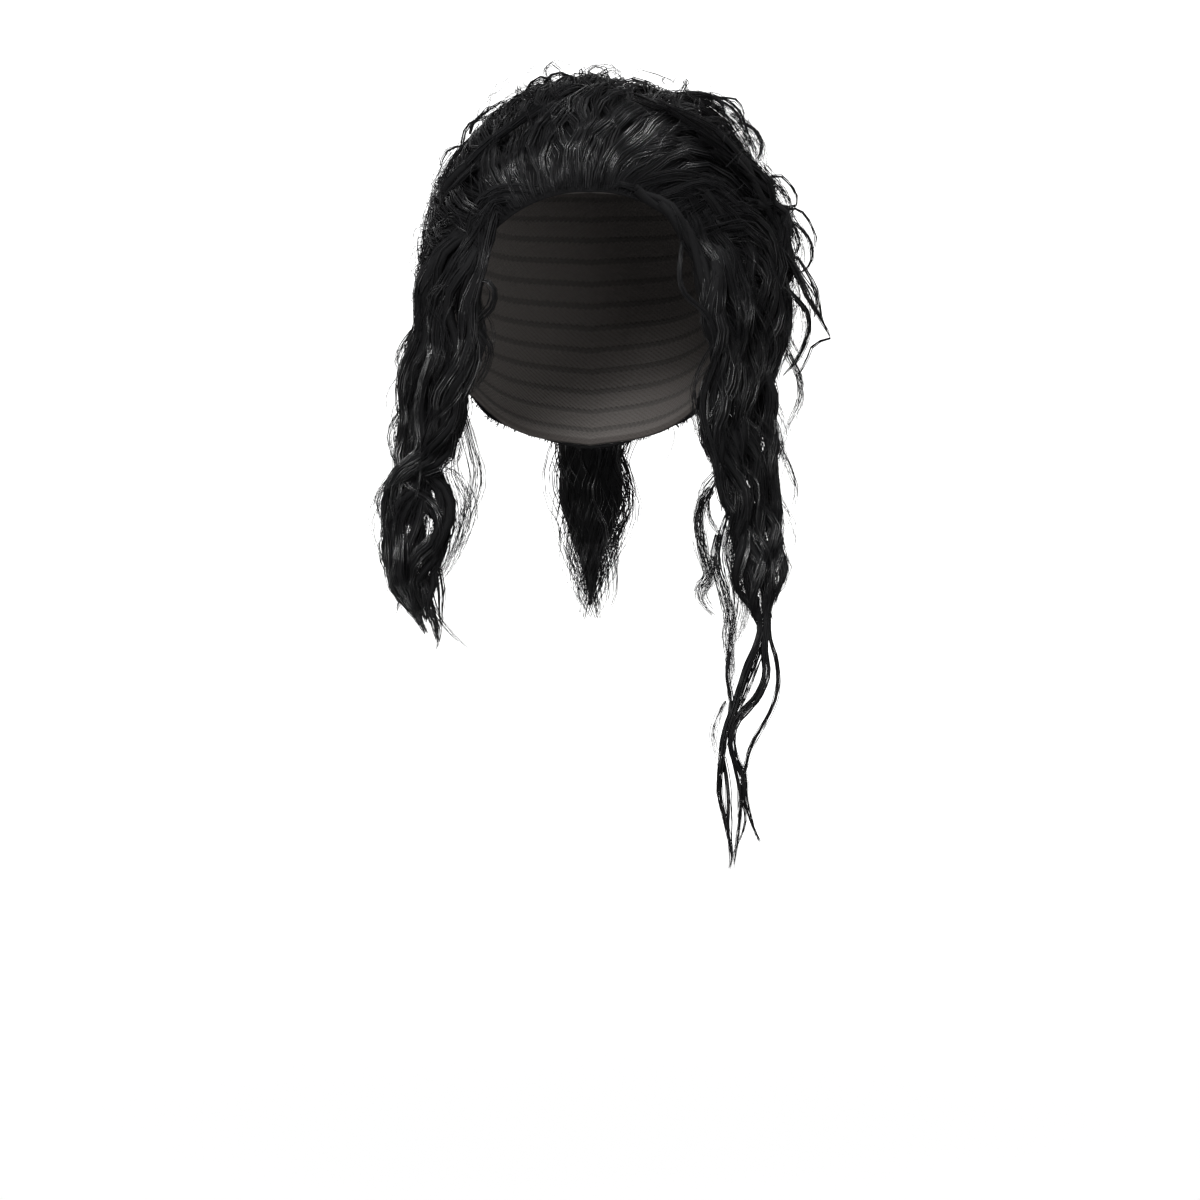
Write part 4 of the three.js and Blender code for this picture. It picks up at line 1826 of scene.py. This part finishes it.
LONG_SIDELOCK = Sidelock(
    node="long_sidelock",
    side=Side.RIGHT,
    bundles=(
        Bundle("outer", 9.0, (9, 29), path(
            (77, 87, 55), (95, 87, 52), (114, 85, 48), (136, 83, 47), (155, 84, 44), (171, 88, 43),
            (188, 85, 49), (209, 89, 50), (224, 90, 53), (241, 87, 57), (261, 86, 60))),
        Bundle("middle", 10.0, (17, 37), path(
            (80, 68, 72), (104, 71, 69), (125, 74, 63), (149, 71, 60), (168, 73, 57), (187, 79, 54),
            (206, 82, 55), (226, 85, 56), (245, 84, 58), (264, 84, 61))),
        Bundle("inner", 8.0, (25, 46), path(
            (86, 60, 80), (106, 60, 79), (127, 64, 72), (149, 62, 70), (164, 61, 69), (181, 66, 65),
            (198, 73, 60), (216, 75, 60), (235, 77, 60), (252, 80, 60), (265, 84, 61))),
        Bundle("temple", 3.4, (2, 30), path(
            (52, 24, 86), (57, 33, 85), (65, 42, 83), (74, 48, 80), (86, 53, 78), (100, 57, 78),
            (114, 60, 76), (129, 60, 73)),
            locks=8, strands=12, inset=0.4, rise=0.02, stagger=0.55, wave=1.8, strays=6),
        Bundle("drape", 7.0, (14, 54), path(
            (54, 90, 34), (80, 94, 28), (106, 92, 30), (132, 88, 36), (156, 87, 42)),
            locks=8, strands=18, inset=24.0, rise=0.03),
        Bundle("rear_fill", 8.0, (13, 33), path(
            (79, 78, 64), (100, 79, 60), (120, 80, 55), (142, 77, 53), (162, 79, 50), (180, 82, 49),
            (198, 84, 52)), locks=3, strands=13, strays=0, dull=(0.3, 0.8)),
        Bundle("front_fill", 8.0, (21, 41), path(
            (83, 64, 76), (105, 65, 74), (126, 69, 68), (149, 66, 65), (166, 67, 63), (184, 72, 60),
            (202, 77, 58)), locks=3, strands=13, strays=0, dull=(0.3, 0.8)),
    ),
    curls=(
        Curl.of(1.5, 18, (80, 86, 40), (90, 93, 40), (95, 98, 39), (100, 103, 38), (106, 107, 38),
                (113, 107, 38), (120, 105, 37), (128, 101, 36), (136, 94, 36)),
        Curl.of(1.3, 18, (73, 93, 40), (82, 99, 39), (90, 103, 39), (96, 106, 38), (103, 110, 37),
                (110, 114, 37), (117, 118, 36)),
        Curl.of(1.0, 10, (77, 101, 38), (85, 106, 38), (92, 110, 37), (100, 112, 37),
                (109, 114, 36), (116, 117, 36)),
        Curl.of(0.7, 7, (117, 118, 36), (118, 114, 36), (121, 109, 36), (128, 106, 36),
                (136, 101, 36)),
        Curl.of(0.8, 8, (80, 100, 36), (87, 104, 36), (94, 109, 36), (101, 111, 36),
                (108, 109, 36)),
        Curl.of(2.0, 20, (62, 86, 46), (74, 90, 44), (83, 93, 42), (92, 96, 40), (102, 98, 39)),
        Curl.of(2.4, 38, (245, 84, 59), (257, 85, 61), (268, 84, 62), (281, 85, 62), (291, 81, 63),
                (298, 75, 66), (304, 70, 67), (313, 68, 68), (322, 70, 67), (329, 74, 66),
                (341, 75, 65), (352, 78, 64), (361, 82, 62)),
        Curl.of(2.0, 30, (248, 81, 60), (259, 82, 61), (267, 80, 62), (276, 76, 64), (287, 72, 66),
                (297, 69, 67), (309, 65, 68), (323, 63, 69), (336, 62, 68), (351, 65, 67),
                (370, 69, 66)),
        Curl.of(1.2, 16, (247, 87, 57), (263, 87, 60), (273, 90, 59), (284, 91, 59), (294, 89, 60),
                (306, 83, 62), (315, 78, 63), (325, 75, 64), (333, 73, 65), (342, 74, 64),
                (350, 75, 64), (358, 73, 64), (367, 69, 65)),
        Curl.of(3.2, 20, (259, 84, 60), (270, 81, 62), (280, 77, 64), (288, 74, 65), (297, 71, 66),
                (304, 68, 67)),
        Curl.of(1.6, 16, (269, 67, 67), (281, 66, 68), (293, 68, 67), (303, 67, 67), (314, 68, 67),
                (326, 70, 66), (336, 72, 65), (348, 72, 65), (358, 71, 65), (373, 69, 65)),
        Curl.of(2.2, 12, (320, 64, 68), (331, 66, 67), (344, 67, 67), (356, 67, 66), (369, 68, 66),
                (374, 67, 66)),
    ),
    wisps=(
        Curl.of(2.0, 22, (124, 97, 34), (133, 102, 32), (145, 103, 32), (159, 98, 36),
                (170, 93, 42)),
        Curl.of(1.8, 22, (167, 91, 43), (182, 98, 41), (192, 101, 42), (202, 97, 46)),
        Curl.of(1.8, 24, (183, 66, 61), (189, 60, 65), (196, 57, 65), (202, 57, 65), (208, 59, 66),
                (214, 63, 64), (226, 66, 64)),
        Curl.of(1.6, 20, (179, 64, 63), (186, 59, 66), (192, 54, 66), (197, 53, 65), (203, 55, 65)),
        Curl.of(1.6, 20, (186, 64, 63), (193, 67, 61), (200, 67, 61), (207, 65, 63), (213, 63, 64),
                (224, 61, 66), (235, 64, 66)),
        Curl.of(4.0, 64, (191, 59, 56), (200, 53, 58), (211, 53, 59), (224, 55, 59), (235, 58, 59),
                (245, 53, 61)),
        Curl.of(3.0, 30, (197, 55, 58), (207, 52, 58), (220, 54, 59), (233, 56, 60), (241, 51, 61),
                (248, 55, 61)),
        Curl.of(4.5, 40, (224, 61, 61), (234, 59, 63), (240, 54, 64), (247, 56, 65), (254, 63, 63)),
        Curl.of(3.4, 48, (213, 62, 65), (226, 60, 66), (237, 63, 66), (248, 66, 66), (258, 68, 66),
                (270, 67, 67), (283, 67, 68)),
        Curl.of(4.5, 56, (197, 71, 59), (211, 67, 62), (224, 65, 64), (238, 68, 64), (251, 68, 65),
                (264, 66, 67), (280, 68, 67), (293, 66, 68)),
        Curl.of(3.2, 40, (207, 73, 59), (221, 70, 61), (235, 71, 62), (247, 75, 62), (258, 73, 64),
                (266, 70, 66)),
        Curl.of(1.4, 14, (121, 60, 76), (131, 54, 75), (142, 50, 73), (154, 50, 70), (167, 53, 68),
                (178, 59, 66), (187, 65, 62)),
        Curl.of(2.6, 16, (293, 65, 68), (301, 61, 70), (310, 59, 70), (320, 61, 69), (328, 63, 68)),
        Curl.of(3.0, 30, (98, 95, 30), (108, 95, 32), (117, 97, 33), (124, 101, 34),
                (129, 105, 36)),
        Curl.of(2.4, 24, (98, 98, 34), (109, 96, 35), (120, 95, 35), (129, 98, 36), (136, 102, 37),
                (145, 103, 37), (157, 101, 38)),
    ),
)


@dataclass(kw_only=True)
class Tendril(Part):
    """Single curl that hangs before the long sidelock, beside the face."""

    node: str = "temple_tendril"
    side: Side = Side.RIGHT
    gleam: float = 0.2
    growth: Growth = Growth(24, frizz=0.6, trim=0.2, seed=SEED + 60)
    curl: Curl = Curl.of(1.3, 24, (68, 46, 79), (76, 44, 81), (85, 43, 83), (94, 43, 84),
        (101, 46, 84), (106, 52, 83), (112, 57, 81), (121, 60, 79), (130, 60, 78), (139, 57, 77),
        (150, 54, 77), (163, 56, 76), (176, 60, 74), (188, 62, 73), (203, 63, 72))

    def build(self, finishes: Finishes) -> list[Object]:
        """Builds the curl."""
        guides = [replace(self.curl.guide(self.side), gleam=self.gleam)]
        return [finishes.strands.grow("temple_tendril_strands", guides, self.growth, finishes.hair)]


@dataclass(kw_only=True)
class Ponytail(Part):
    """Tied tail behind the head."""

    node: str = "ponytail"
    locks: int = 19
    wave: float = 3.6
    wave_length: Span = (40.0, 58.0)
    deep_wave: float = 0.6
    swing: Span = (25.0, 80.0)
    swirl: float = 1.6
    step: float = 7.5
    fill: Span = (0.88, 0.64)
    reach: Span = (0.9, 0.58)
    spread: Span = (0.13, 0.42)
    least_half: float = 0.6
    flat: float = 0.85
    cut: Span = (0.86, 1.0)
    neck: Span = (22.0, 62.0)
    neck_slack: float = 0.8
    root_sink: float = 4.0
    ring_gap: float = 6.0
    taper: Span = (0.6, 0.98)
    sides: int = 24
    least_fill: float = 0.01
    growth: Growth = Growth(20, thickness=0.3, frizz=1.1, trim=0.15, seed=SEED + 70)
    sections: tuple[TailRow, ...] = (
        TailRow(87, 139, 17, 14), TailRow(108, 147, 25, 18), TailRow(140, 148, 29, 20),
        TailRow(165, 144, 26, 18), TailRow(190, 141, 28, 19), TailRow(222, 137, 21, 14),
        TailRow(246, 135, 12, 8), TailRow(264, 134, 1, 1),
    )

    def loosen(self, pair: Span, run: Array) -> Array:
        """A size that changes from the tied neck to the loose tail, at distances along it."""
        return blend(*pair, ease(run, *self.neck))

    def spine(self) -> tuple[Array, Array, Array]:
        """Middle line of the tail, with its half width and half depth at each point.

        Returns:
            The line's points, half widths and half depths.
        """
        tie = HEAD.tie
        lifts = [tie.tail_lift - self.root_sink, tie.ring_lift, tie.ring_lift + self.ring_gap]
        neck = HEAD.over(np.tile(HEAD.tie_axis(), (len(lifts), 1)), np.array(lifts))
        fall = np.array([[0.0, row.back, -row.drop] for row in self.sections])
        knots = np.concatenate([neck, fall])
        line = spline(knots, self.step)
        neck_half = [tie.neck_radius - self.neck_slack] * len(lifts)
        widths = neck_half + [row.half_width for row in self.sections]
        depths = neck_half + [row.half_depth for row in self.sections]
        nearest = np.argmin(np.linalg.norm(line[None] - knots[:, None], axis=2), axis=1)
        places = np.arange(len(line))
        return line, np.interp(places, nearest, widths), np.interp(places, nearest, depths)

    def directions(self, line: Array) -> tuple[Array, Array]:
        """Unit vectors across the tail and out of it, at each point of its line."""
        across = np.tile(ACROSS, (len(line), 1))
        return across, np.cross(across, unit(np.gradient(line, axis=0)))

    def lock(self, number: int, dice: Dice) -> Guide:
        """Guide of one lock of the tail, from the tie to its tip.

        Args:
            number: its number in the tail.
            dice: the random source.

        Returns:
            The guide.
        """
        line, widths, depths = self.spine()
        last = int(len(line) * dice.uniform(*self.cut))
        line, widths, depths = line[:last], widths[:last], depths[:last]
        directions = self.directions(line)
        run = np.arange(last) * self.step
        reach = self.loosen(self.reach, run) * math.sqrt((number + 0.5) / self.locks)
        angle = number * GOLDEN_TURN + self.swirl * run / run[-1]
        swing = self.wave * ease(run, *self.swing)
        wave = beat(run, self.wave_length, dice)
        wide = reach * widths * np.cos(angle) + swing * np.sin(wave)
        deep = reach * depths * np.sin(angle) + self.deep_wave * swing * np.cos(wave)
        points = line + offset(directions, wide, deep)
        half = np.maximum(widths * self.loosen(self.spread, run), self.least_half)
        return Guide(points, half, half * self.flat, directions[1])

    def rings(self) -> Array:
        """Points of the depth's oval rings, from the tie to where the taper closes it.

        Returns:
            The points by ring and place round it.
        """
        line, widths, depths = self.spine()
        across, out = self.directions(line)
        angle = np.linspace(0, TAU, self.sides, endpoint=False)
        fill = self.loosen(self.fill, np.arange(len(line)) * self.step)
        fill = fill * (1.0 - ease(np.linspace(0, 1, len(line)), *self.taper))
        wide = np.outer(fill * widths, np.cos(angle))[..., None]
        deep = np.outer(fill * depths, np.sin(angle))[..., None]
        rings = line[:, None] + across[:, None] * wide + out[:, None] * deep
        return rings[fill > self.least_fill]

    def build(self, finishes: Finishes) -> list[Object]:
        """Builds the tail's depth and its strands.

        Args:
            finishes: the shared materials and the strand tree.

        Returns:
            The pieces.
        """
        dice = np.random.default_rng(SEED + 3)
        guides = [self.lock(number, dice) for number in range(self.locks)]
        return [
            loft("ponytail_depth", self.rings(), finishes.mass),
            finishes.strands.grow("ponytail_strands", guides, self.growth, finishes.hair),
        ]


@dataclass(frozen=True)
class LooseCurls:
    """Curls at random places along the hair's sweep."""

    count: int = 84
    turn_reach: float = 118.0
    away: Span = (42.0, 124.0)
    edge_gap: float = 20.0
    length: Span = (40.0, 75.0)
    step: float = 3.2
    path_radius: float = 100.0
    least_away: float = 10.0
    drift: float = 22.0
    radius: Span = (1.5, 4.5)
    pitch: Span = (20.0, 38.0)
    swell: Span = (0.1, 0.9)
    uneven: float = 0.5
    uneven_length: Span = (28.0, 60.0)
    uneven_start: float = 6.28
    left_size: float = 0.9
    right_size: float = 1.25
    sink: float = 4.0
    rise: float = 0.6
    sway: float = 1.4
    half: float = 1.5
    growth: Growth = Growth(5, thickness=0.2, frizz=1.4, trim=0.4, seed=SEED + 80)

    def guide(self, dice: Dice) -> Guide:
        """Guide of one curl.

        Args:
            dice: the random source.

        Returns:
            The guide.
        """
        turn = dice.uniform(-self.turn_reach, self.turn_reach)
        start = min(dice.uniform(*self.away), float(HEAD.edge_away(turn)) - self.edge_gap)
        length = dice.uniform(*self.length)
        run = np.arange(0.0, length, self.step)
        share = run / length
        away = np.maximum(start - np.degrees(run / self.path_radius), self.least_away)
        swell = np.sin(math.pi * blend(*self.swell, share))
        slow = beat(run, self.uneven_length, dice, self.uneven_start)
        size = dice.uniform(*self.radius) * (self.right_size if turn > 0 else self.left_size)
        radius = size * swell * (1.0 + self.uneven * np.sin(slow))
        angle = beat(run, self.pitch, dice)
        way = HEAD.about_tie(turn + dice.uniform(-self.drift, self.drift) * share, away)
        base = HEAD.hair_base + HEAD.depth(way) - self.sink
        points = HEAD.over(way, base + radius * (self.rise + np.cos(angle)))
        side, _ = line_frame(points, HEAD.outward(points))
        points = points + side * (self.sway * radius * np.sin(angle))[:, None]
        half = np.full(len(run), self.half)
        return Guide(points, half, half, HEAD.outward(points))


@dataclass(frozen=True)
class Flyaways:
    """Fine hairs that lift off the crown, one or two together."""

    count: int = 190
    turn_reach: float = 150.0
    start: Span = (0.35, 0.9)
    length: Span = (22.0, 55.0)
    step: float = 3.5
    path_radius: float = 100.0
    drift: float = 16.0
    ways: Span = (-0.6, 1.0)
    lift: Span = (2.0, 8.0)
    arch: float = 0.75
    half: float = 1.0
    growth: Growth = Growth(
        2, thickness=0.13, frizz=3.0, frizz_length=16.0, trim=0.3, seed=SEED + 99
    )

    def guide(self, dice: Dice) -> Guide:
        """Guide of the hairs at one place.

        Args:
            dice: the random source.

        Returns:
            The guide.
        """
        turn = dice.uniform(-self.turn_reach, self.turn_reach)
        start = float(HEAD.edge_away(turn)) * dice.uniform(*self.start)
        run = np.arange(0.0, dice.uniform(*self.length), self.step)
        share = run / run[-1]
        turned = turn + dice.uniform(-self.drift, self.drift) * share**2
        back = np.degrees(run / self.path_radius) * dice.choice(self.ways)
        way = HEAD.about_tie(turned, start - back)
        lift = dice.uniform(*self.lift) * np.sin(math.pi * self.arch * share)
        points = HEAD.over(way, HEAD.hair_base + HEAD.depth(way) + lift)
        half = np.full(len(run), self.half)
        return Guide(points, half, half, HEAD.outward(points))


@dataclass(kw_only=True)
class CrownCurls(Part):
    """Loose curls that stand out of the swept-back hair and break its outline."""

    node: str = "crown_hair"
    loose: LooseCurls = LooseCurls()
    flyaways: Flyaways = Flyaways()
    arc_growth: Growth = Growth(thickness=0.24, frizz=1.0, trim=0.15, seed=SEED + 90)
    frizz_growth: Growth = Growth(
        thickness=0.11, frizz=3.2, frizz_length=16.0, trim=0.5, seed=SEED + 120
    )
    arcs: tuple[Curl, ...] = (
        Curl.of(1.6, 14, (-6, 37, 4), (-7, 47, 8), (-6, 57, 11), (-3, 64, 15), (2, 66, 18),
                (8, 66, 22)),
        Curl.of(1.6, 16, (-6, 55, 6), (-4, 64, 9), (0, 70, 13), (5, 74, 16), (12, 76, 19),
                (21, 80, 23), (28, 83, 26)),
        Curl.of(0.8, 8, (-7, 55, 10), (-4, 66, 12), (-3, 72, 15), (3, 76, 18), (9, 76, 20)),
        Curl.of(1.0, 12, (8, 73, 12), (9, 77, 15), (13, 82, 18), (19, 85, 20), (25, 84, 23),
                (29, 82, 26)),
        Curl.of(1.0, 10, (31, 80, 14), (35, 86, 18), (40, 92, 21), (46, 97, 24), (52, 99, 28)),
        Curl.of(0.8, 9, (39, 83, 12), (36, 88, 15), (35, 94, 17), (40, 99, 20), (46, 102, 23),
                (52, 101, 25), (57, 97, 28)),
        Curl.of(1.2, 12, (49, 87, 18), (51, 94, 22), (52, 99, 26), (51, 102, 30)),
        Curl.of(1.3, 13, (58, 90, 20), (58, 96, 23), (62, 100, 26), (67, 102, 28), (72, 102, 31),
                (78, 99, 34)),
        Curl.of(1.1, 12, (57, 94, 18), (58, 99, 21), (62, 104, 23), (68, 108, 26), (74, 109, 28),
                (80, 108, 31), (84, 104, 33), (86, 100, 36)),
        Curl.of(0.7, 7, (52, 97, 18), (52, 102, 21), (55, 106, 24), (61, 109, 26), (67, 111, 29),
                (76, 109, 32)),
        Curl.of(1.0, 9, (65, 91, 20), (70, 95, 25), (74, 98, 29), (80, 100, 34)),
        Curl.of(1.2, 11, (-9, -32, 2), (-13, -29, 4), (-15, -25, 5), (-14, -20, 7), (-9, -19, 8),
                (-5, -22, 10)),
        Curl.of(1.2, 11, (-9, -24, 4), (-15, -21, 6), (-17, -16, 7), (-16, -11, 9), (-12, -9, 10),
                (-7, -11, 12)),
        Curl.of(1.2, 11, (-10, -17, 2), (-14, -14, 4), (-16, -9, 6), (-12, -5, 8), (-7, -5, 10),
                (-4, -9, 12)),
        Curl.of(1.0, 9, (21, -64, 6), (15, -63, 8), (10, -61, 10), (7, -57, 12), (6, -52, 14),
                (3, -47, 16)),
        Curl.of(1.0, 9, (13, -60, 6), (7, -58, 8), (4, -54, 10), (0, -48, 12), (-3, -42, 14)),
        Curl.of(3.2, 26, (-5, 46, 2), (-2, 56, 6), (3, 63, 9), (10, 69, 13), (18, 74, 17),
                (27, 79, 20), (36, 83, 24)),
        Curl.of(2.6, 22, (-8, 35, 0), (-6, 47, 5), (-3, 58, 10), (1, 64, 15), (8, 69, 20)),
        Curl.of(2.8, 20, (40, -73, 20), (31, -69, 18), (24, -64, 15), (17, -58, 13), (10, -52, 11),
                (3, -46, 8), (-2, -38, 6)),
        Curl.of(2.4, 16, (29, -67, 14), (21, -61, 11), (13, -54, 8), (5, -48, 5), (-2, -41, 2)),
        Curl.of(3.4, 26, (-4, 44, 0), (1, 55, 4), (7, 63, 8), (15, 69, 12), (25, 76, 16)),
        Curl.of(0.8, 8, (19, -62, 8), (20, -67, 10), (22, -71, 12), (26, -73, 14), (31, -74, 16)),
    )
    frizz: tuple[Curl, ...] = (
        Curl.of(5.0, 34, (-7, 40, 0), (-5, 54, 6), (0, 66, 11), (8, 74, 15), (20, 80, 19)),
        Curl.of(5.5, 34, (4, 70, 10), (14, 79, 15), (25, 83, 20), (36, 86, 24), (46, 92, 26)),
        Curl.of(6.0, 36, (30, 84, 14), (40, 91, 18), (50, 96, 22), (60, 98, 26), (72, 99, 30)),
        Curl.of(6.0, 36, (52, 94, 18), (62, 100, 22), (73, 103, 26), (84, 102, 30), (96, 101, 33)),
        Curl.of(5.5, 34, (80, 97, 26), (90, 102, 30), (100, 104, 33), (112, 105, 35),
                (124, 101, 36)),
        Curl.of(4.0, 30, (-10, -8, 0), (-10, -20, 2), (-7, -32, 4), (-2, -43, 8), (6, -52, 10)),
        Curl.of(4.5, 30, (16, -60, 10), (25, -67, 12), (35, -73, 15), (48, -77, 18), (60, -79, 21)),
        Curl.of(4.5, 30, (44, -76, 18), (58, -80, 22), (72, -82, 26), (86, -83, 30), (98, -85, 34)),
    )

    def build(self, finishes: Finishes) -> list[Object]:
        """Builds the curls, the arcs and the frizz of the outline, and the fine hairs.

        Args:
            finishes: the shared materials and the strand tree.

        Returns:
            The pieces.
        """
        dice = np.random.default_rng(SEED + 5)
        grow = finishes.strands.grow
        guides = [self.loose.guide(dice) for _ in range(self.loose.count)]
        pieces = [grow("crown_curls", guides, self.loose.growth, finishes.hair)]
        pieces += grow_curls("crown_arc", self.arcs, Side.RIGHT, self.arc_growth, finishes)
        pieces += grow_curls("crown_frizz", self.frizz, Side.RIGHT, self.frizz_growth, finishes)
        guides = [self.flyaways.guide(dice) for _ in range(self.flyaways.count)]
        pieces.append(grow("crown_flyaways", guides, self.flyaways.growth, finishes.hair))
        return pieces


@dataclass(kw_only=True)
class HairTie(Part):
    """Ribbed elastic ring round the tail's neck."""

    node: str = "hair_tie"
    slot: Slot = Slot.TIE
    ribs: int = 58
    rib: float = 0.75

    def build(self, finishes: Finishes) -> list[Object]:
        """Builds the ring.

        Args:
            finishes: the shared materials.

        Returns:
            The ring alone.
        """
        name = f"{self.node}_ring"
        piece = link(bpy.data.objects.new(name, bpy.data.meshes.new(name)))
        half = HEAD.tie.thickness / 2
        RingTree().apply(piece, {
            "Ring": (HEAD.tie.neck_radius + half) * MM, "Cord": half * MM, "Rib": self.rib * MM,
            "Ribs": self.ribs, "Material": finishes.tie,
        })
        axis = HEAD.tie_axis()
        place = HEAD.over(axis, np.array(HEAD.tie.ring_lift)) * MM
        turn = Vector(UP).rotation_difference(Vector(axis)).to_matrix().to_4x4()
        piece.data.transform(Matrix.Translation(Vector(place)) @ turn)
        return [piece]


@dataclass(frozen=True)
class Lamp:
    """A square soft light: its place and aim, its side in metres and its watts."""

    name: str
    place: Place
    aim: Place
    size: float
    power: float

    def build(self) -> None:
        """Adds the light."""
        data = bpy.data.lights.new(self.name, "AREA")
        data.size = self.size
        data.energy = self.power
        lamp = link(bpy.data.objects.new(self.name, data))
        lamp.location = self.place
        facing = Vector(self.aim) - Vector(self.place)
        lamp.rotation_euler = facing.to_track_quat("-Z", "Y").to_euler()


@dataclass
class Studio:
    """Pale seamless floor that curves up all round, soft lights and the camera, in metres."""

    floor_level: float = -0.52
    floor_radius: float = 2.0
    bend: float = 0.7
    bend_rings: int = 14
    wall_top: float = 2.4
    sides: int = 72
    sky: float = 0.2
    lamps: tuple[Lamp, ...] = (
        Lamp("key", (-0.35, -1.7, 0.9), (0.0, 0.0, -0.1), 0.5, 175.0),
        Lamp("top", (0.4, -0.3, 1.6), (0.0, 0.0, -0.1), 0.5, 110.0),
        Lamp("side", (-1.5, -1.1, -0.15), (0.0, 0.0, -0.25), 0.6, 50.0),
        Lamp("fill", (0.7, -1.6, -0.45), (0.0, 0.0, -0.25), 0.8, 55.0),
        Lamp("back", (-0.4, 1.7, 0.9), (0.0, 0.0, -0.1), 1.4, 26.0),
    )
    camera_place: Place = (0.005, -1.6, -0.245)
    lens: float = 96.0  # mm

    def floor(self) -> None:
        """Builds the floor."""
        angles = np.linspace(0, math.pi / 2, self.bend_rings)
        radii = [*(self.floor_radius + self.bend * np.sin(angles)), self.floor_radius + self.bend]
        heights = [*(self.floor_level + self.bend * (1 - np.cos(angles))), self.wall_top]
        turns = np.linspace(0, TAU, self.sides, endpoint=False)
        points = [
            (radius * math.cos(turn), radius * math.sin(turn), height)
            for radius, height in zip(radii, heights) for turn in turns
        ]
        faces = [list(range(self.sides)), *bands(*number_rings(len(radii), self.sides))]
        mesh = bpy.data.meshes.new("floor")
        mesh.from_pydata(points, [], faces)
        mesh.shade_smooth()
        mesh.materials.append(FloorFinish().material())
        link(bpy.data.objects.new("floor", mesh))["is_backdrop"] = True

    def camera(self) -> Object:
        """Adds the camera, level and facing the front of the part.

        Returns:
            The camera.
        """
        data = bpy.data.cameras.new("camera")
        data.lens = self.lens
        camera = link(bpy.data.objects.new("camera", data))
        camera.location = self.camera_place
        camera.rotation_euler = (math.pi / 2, 0.0, 0.0)
        return camera

    def build(self) -> None:
        """Builds the floor, the lights, the world and the camera."""
        self.floor()
        for lamp in self.lamps:
            lamp.build()
        world = bpy.data.worlds.new("studio")
        world.use_nodes = True
        shade = world.node_tree.nodes["Background"]
        shade.inputs["Color"].default_value = WHITE
        shade.inputs["Strength"].default_value = self.sky
        scene = bpy.context.scene
        scene.world = world
        scene.view_settings.view_transform = "Standard"
        scene.camera = self.camera()


def write_size() -> None:
    """Gathers the boxes of the CAD model and of the visual model as plain lists."""
    boxes = {"cad": CAD_BOX, "visual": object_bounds()}
    plain = {name: [list(corner) for corner in box] for name, box in boxes.items()}


def main() -> None:
    """Builds and dresses every piece in order."""
    logging.basicConfig(level=logging.INFO, format="%(name)s: %(message)s")
    finishes = Finishes()
    parts = (
        Cap(), CrownHair(), CrownCurls(), SHORT_SIDELOCK, LONG_SIDELOCK, Tendril(), HairTie(),
        Ponytail(),
    )
    for part in parts:
        part.dress(part.build(finishes))
    Studio().build()
    write_size()


if __name__ == "__main__":
    main()
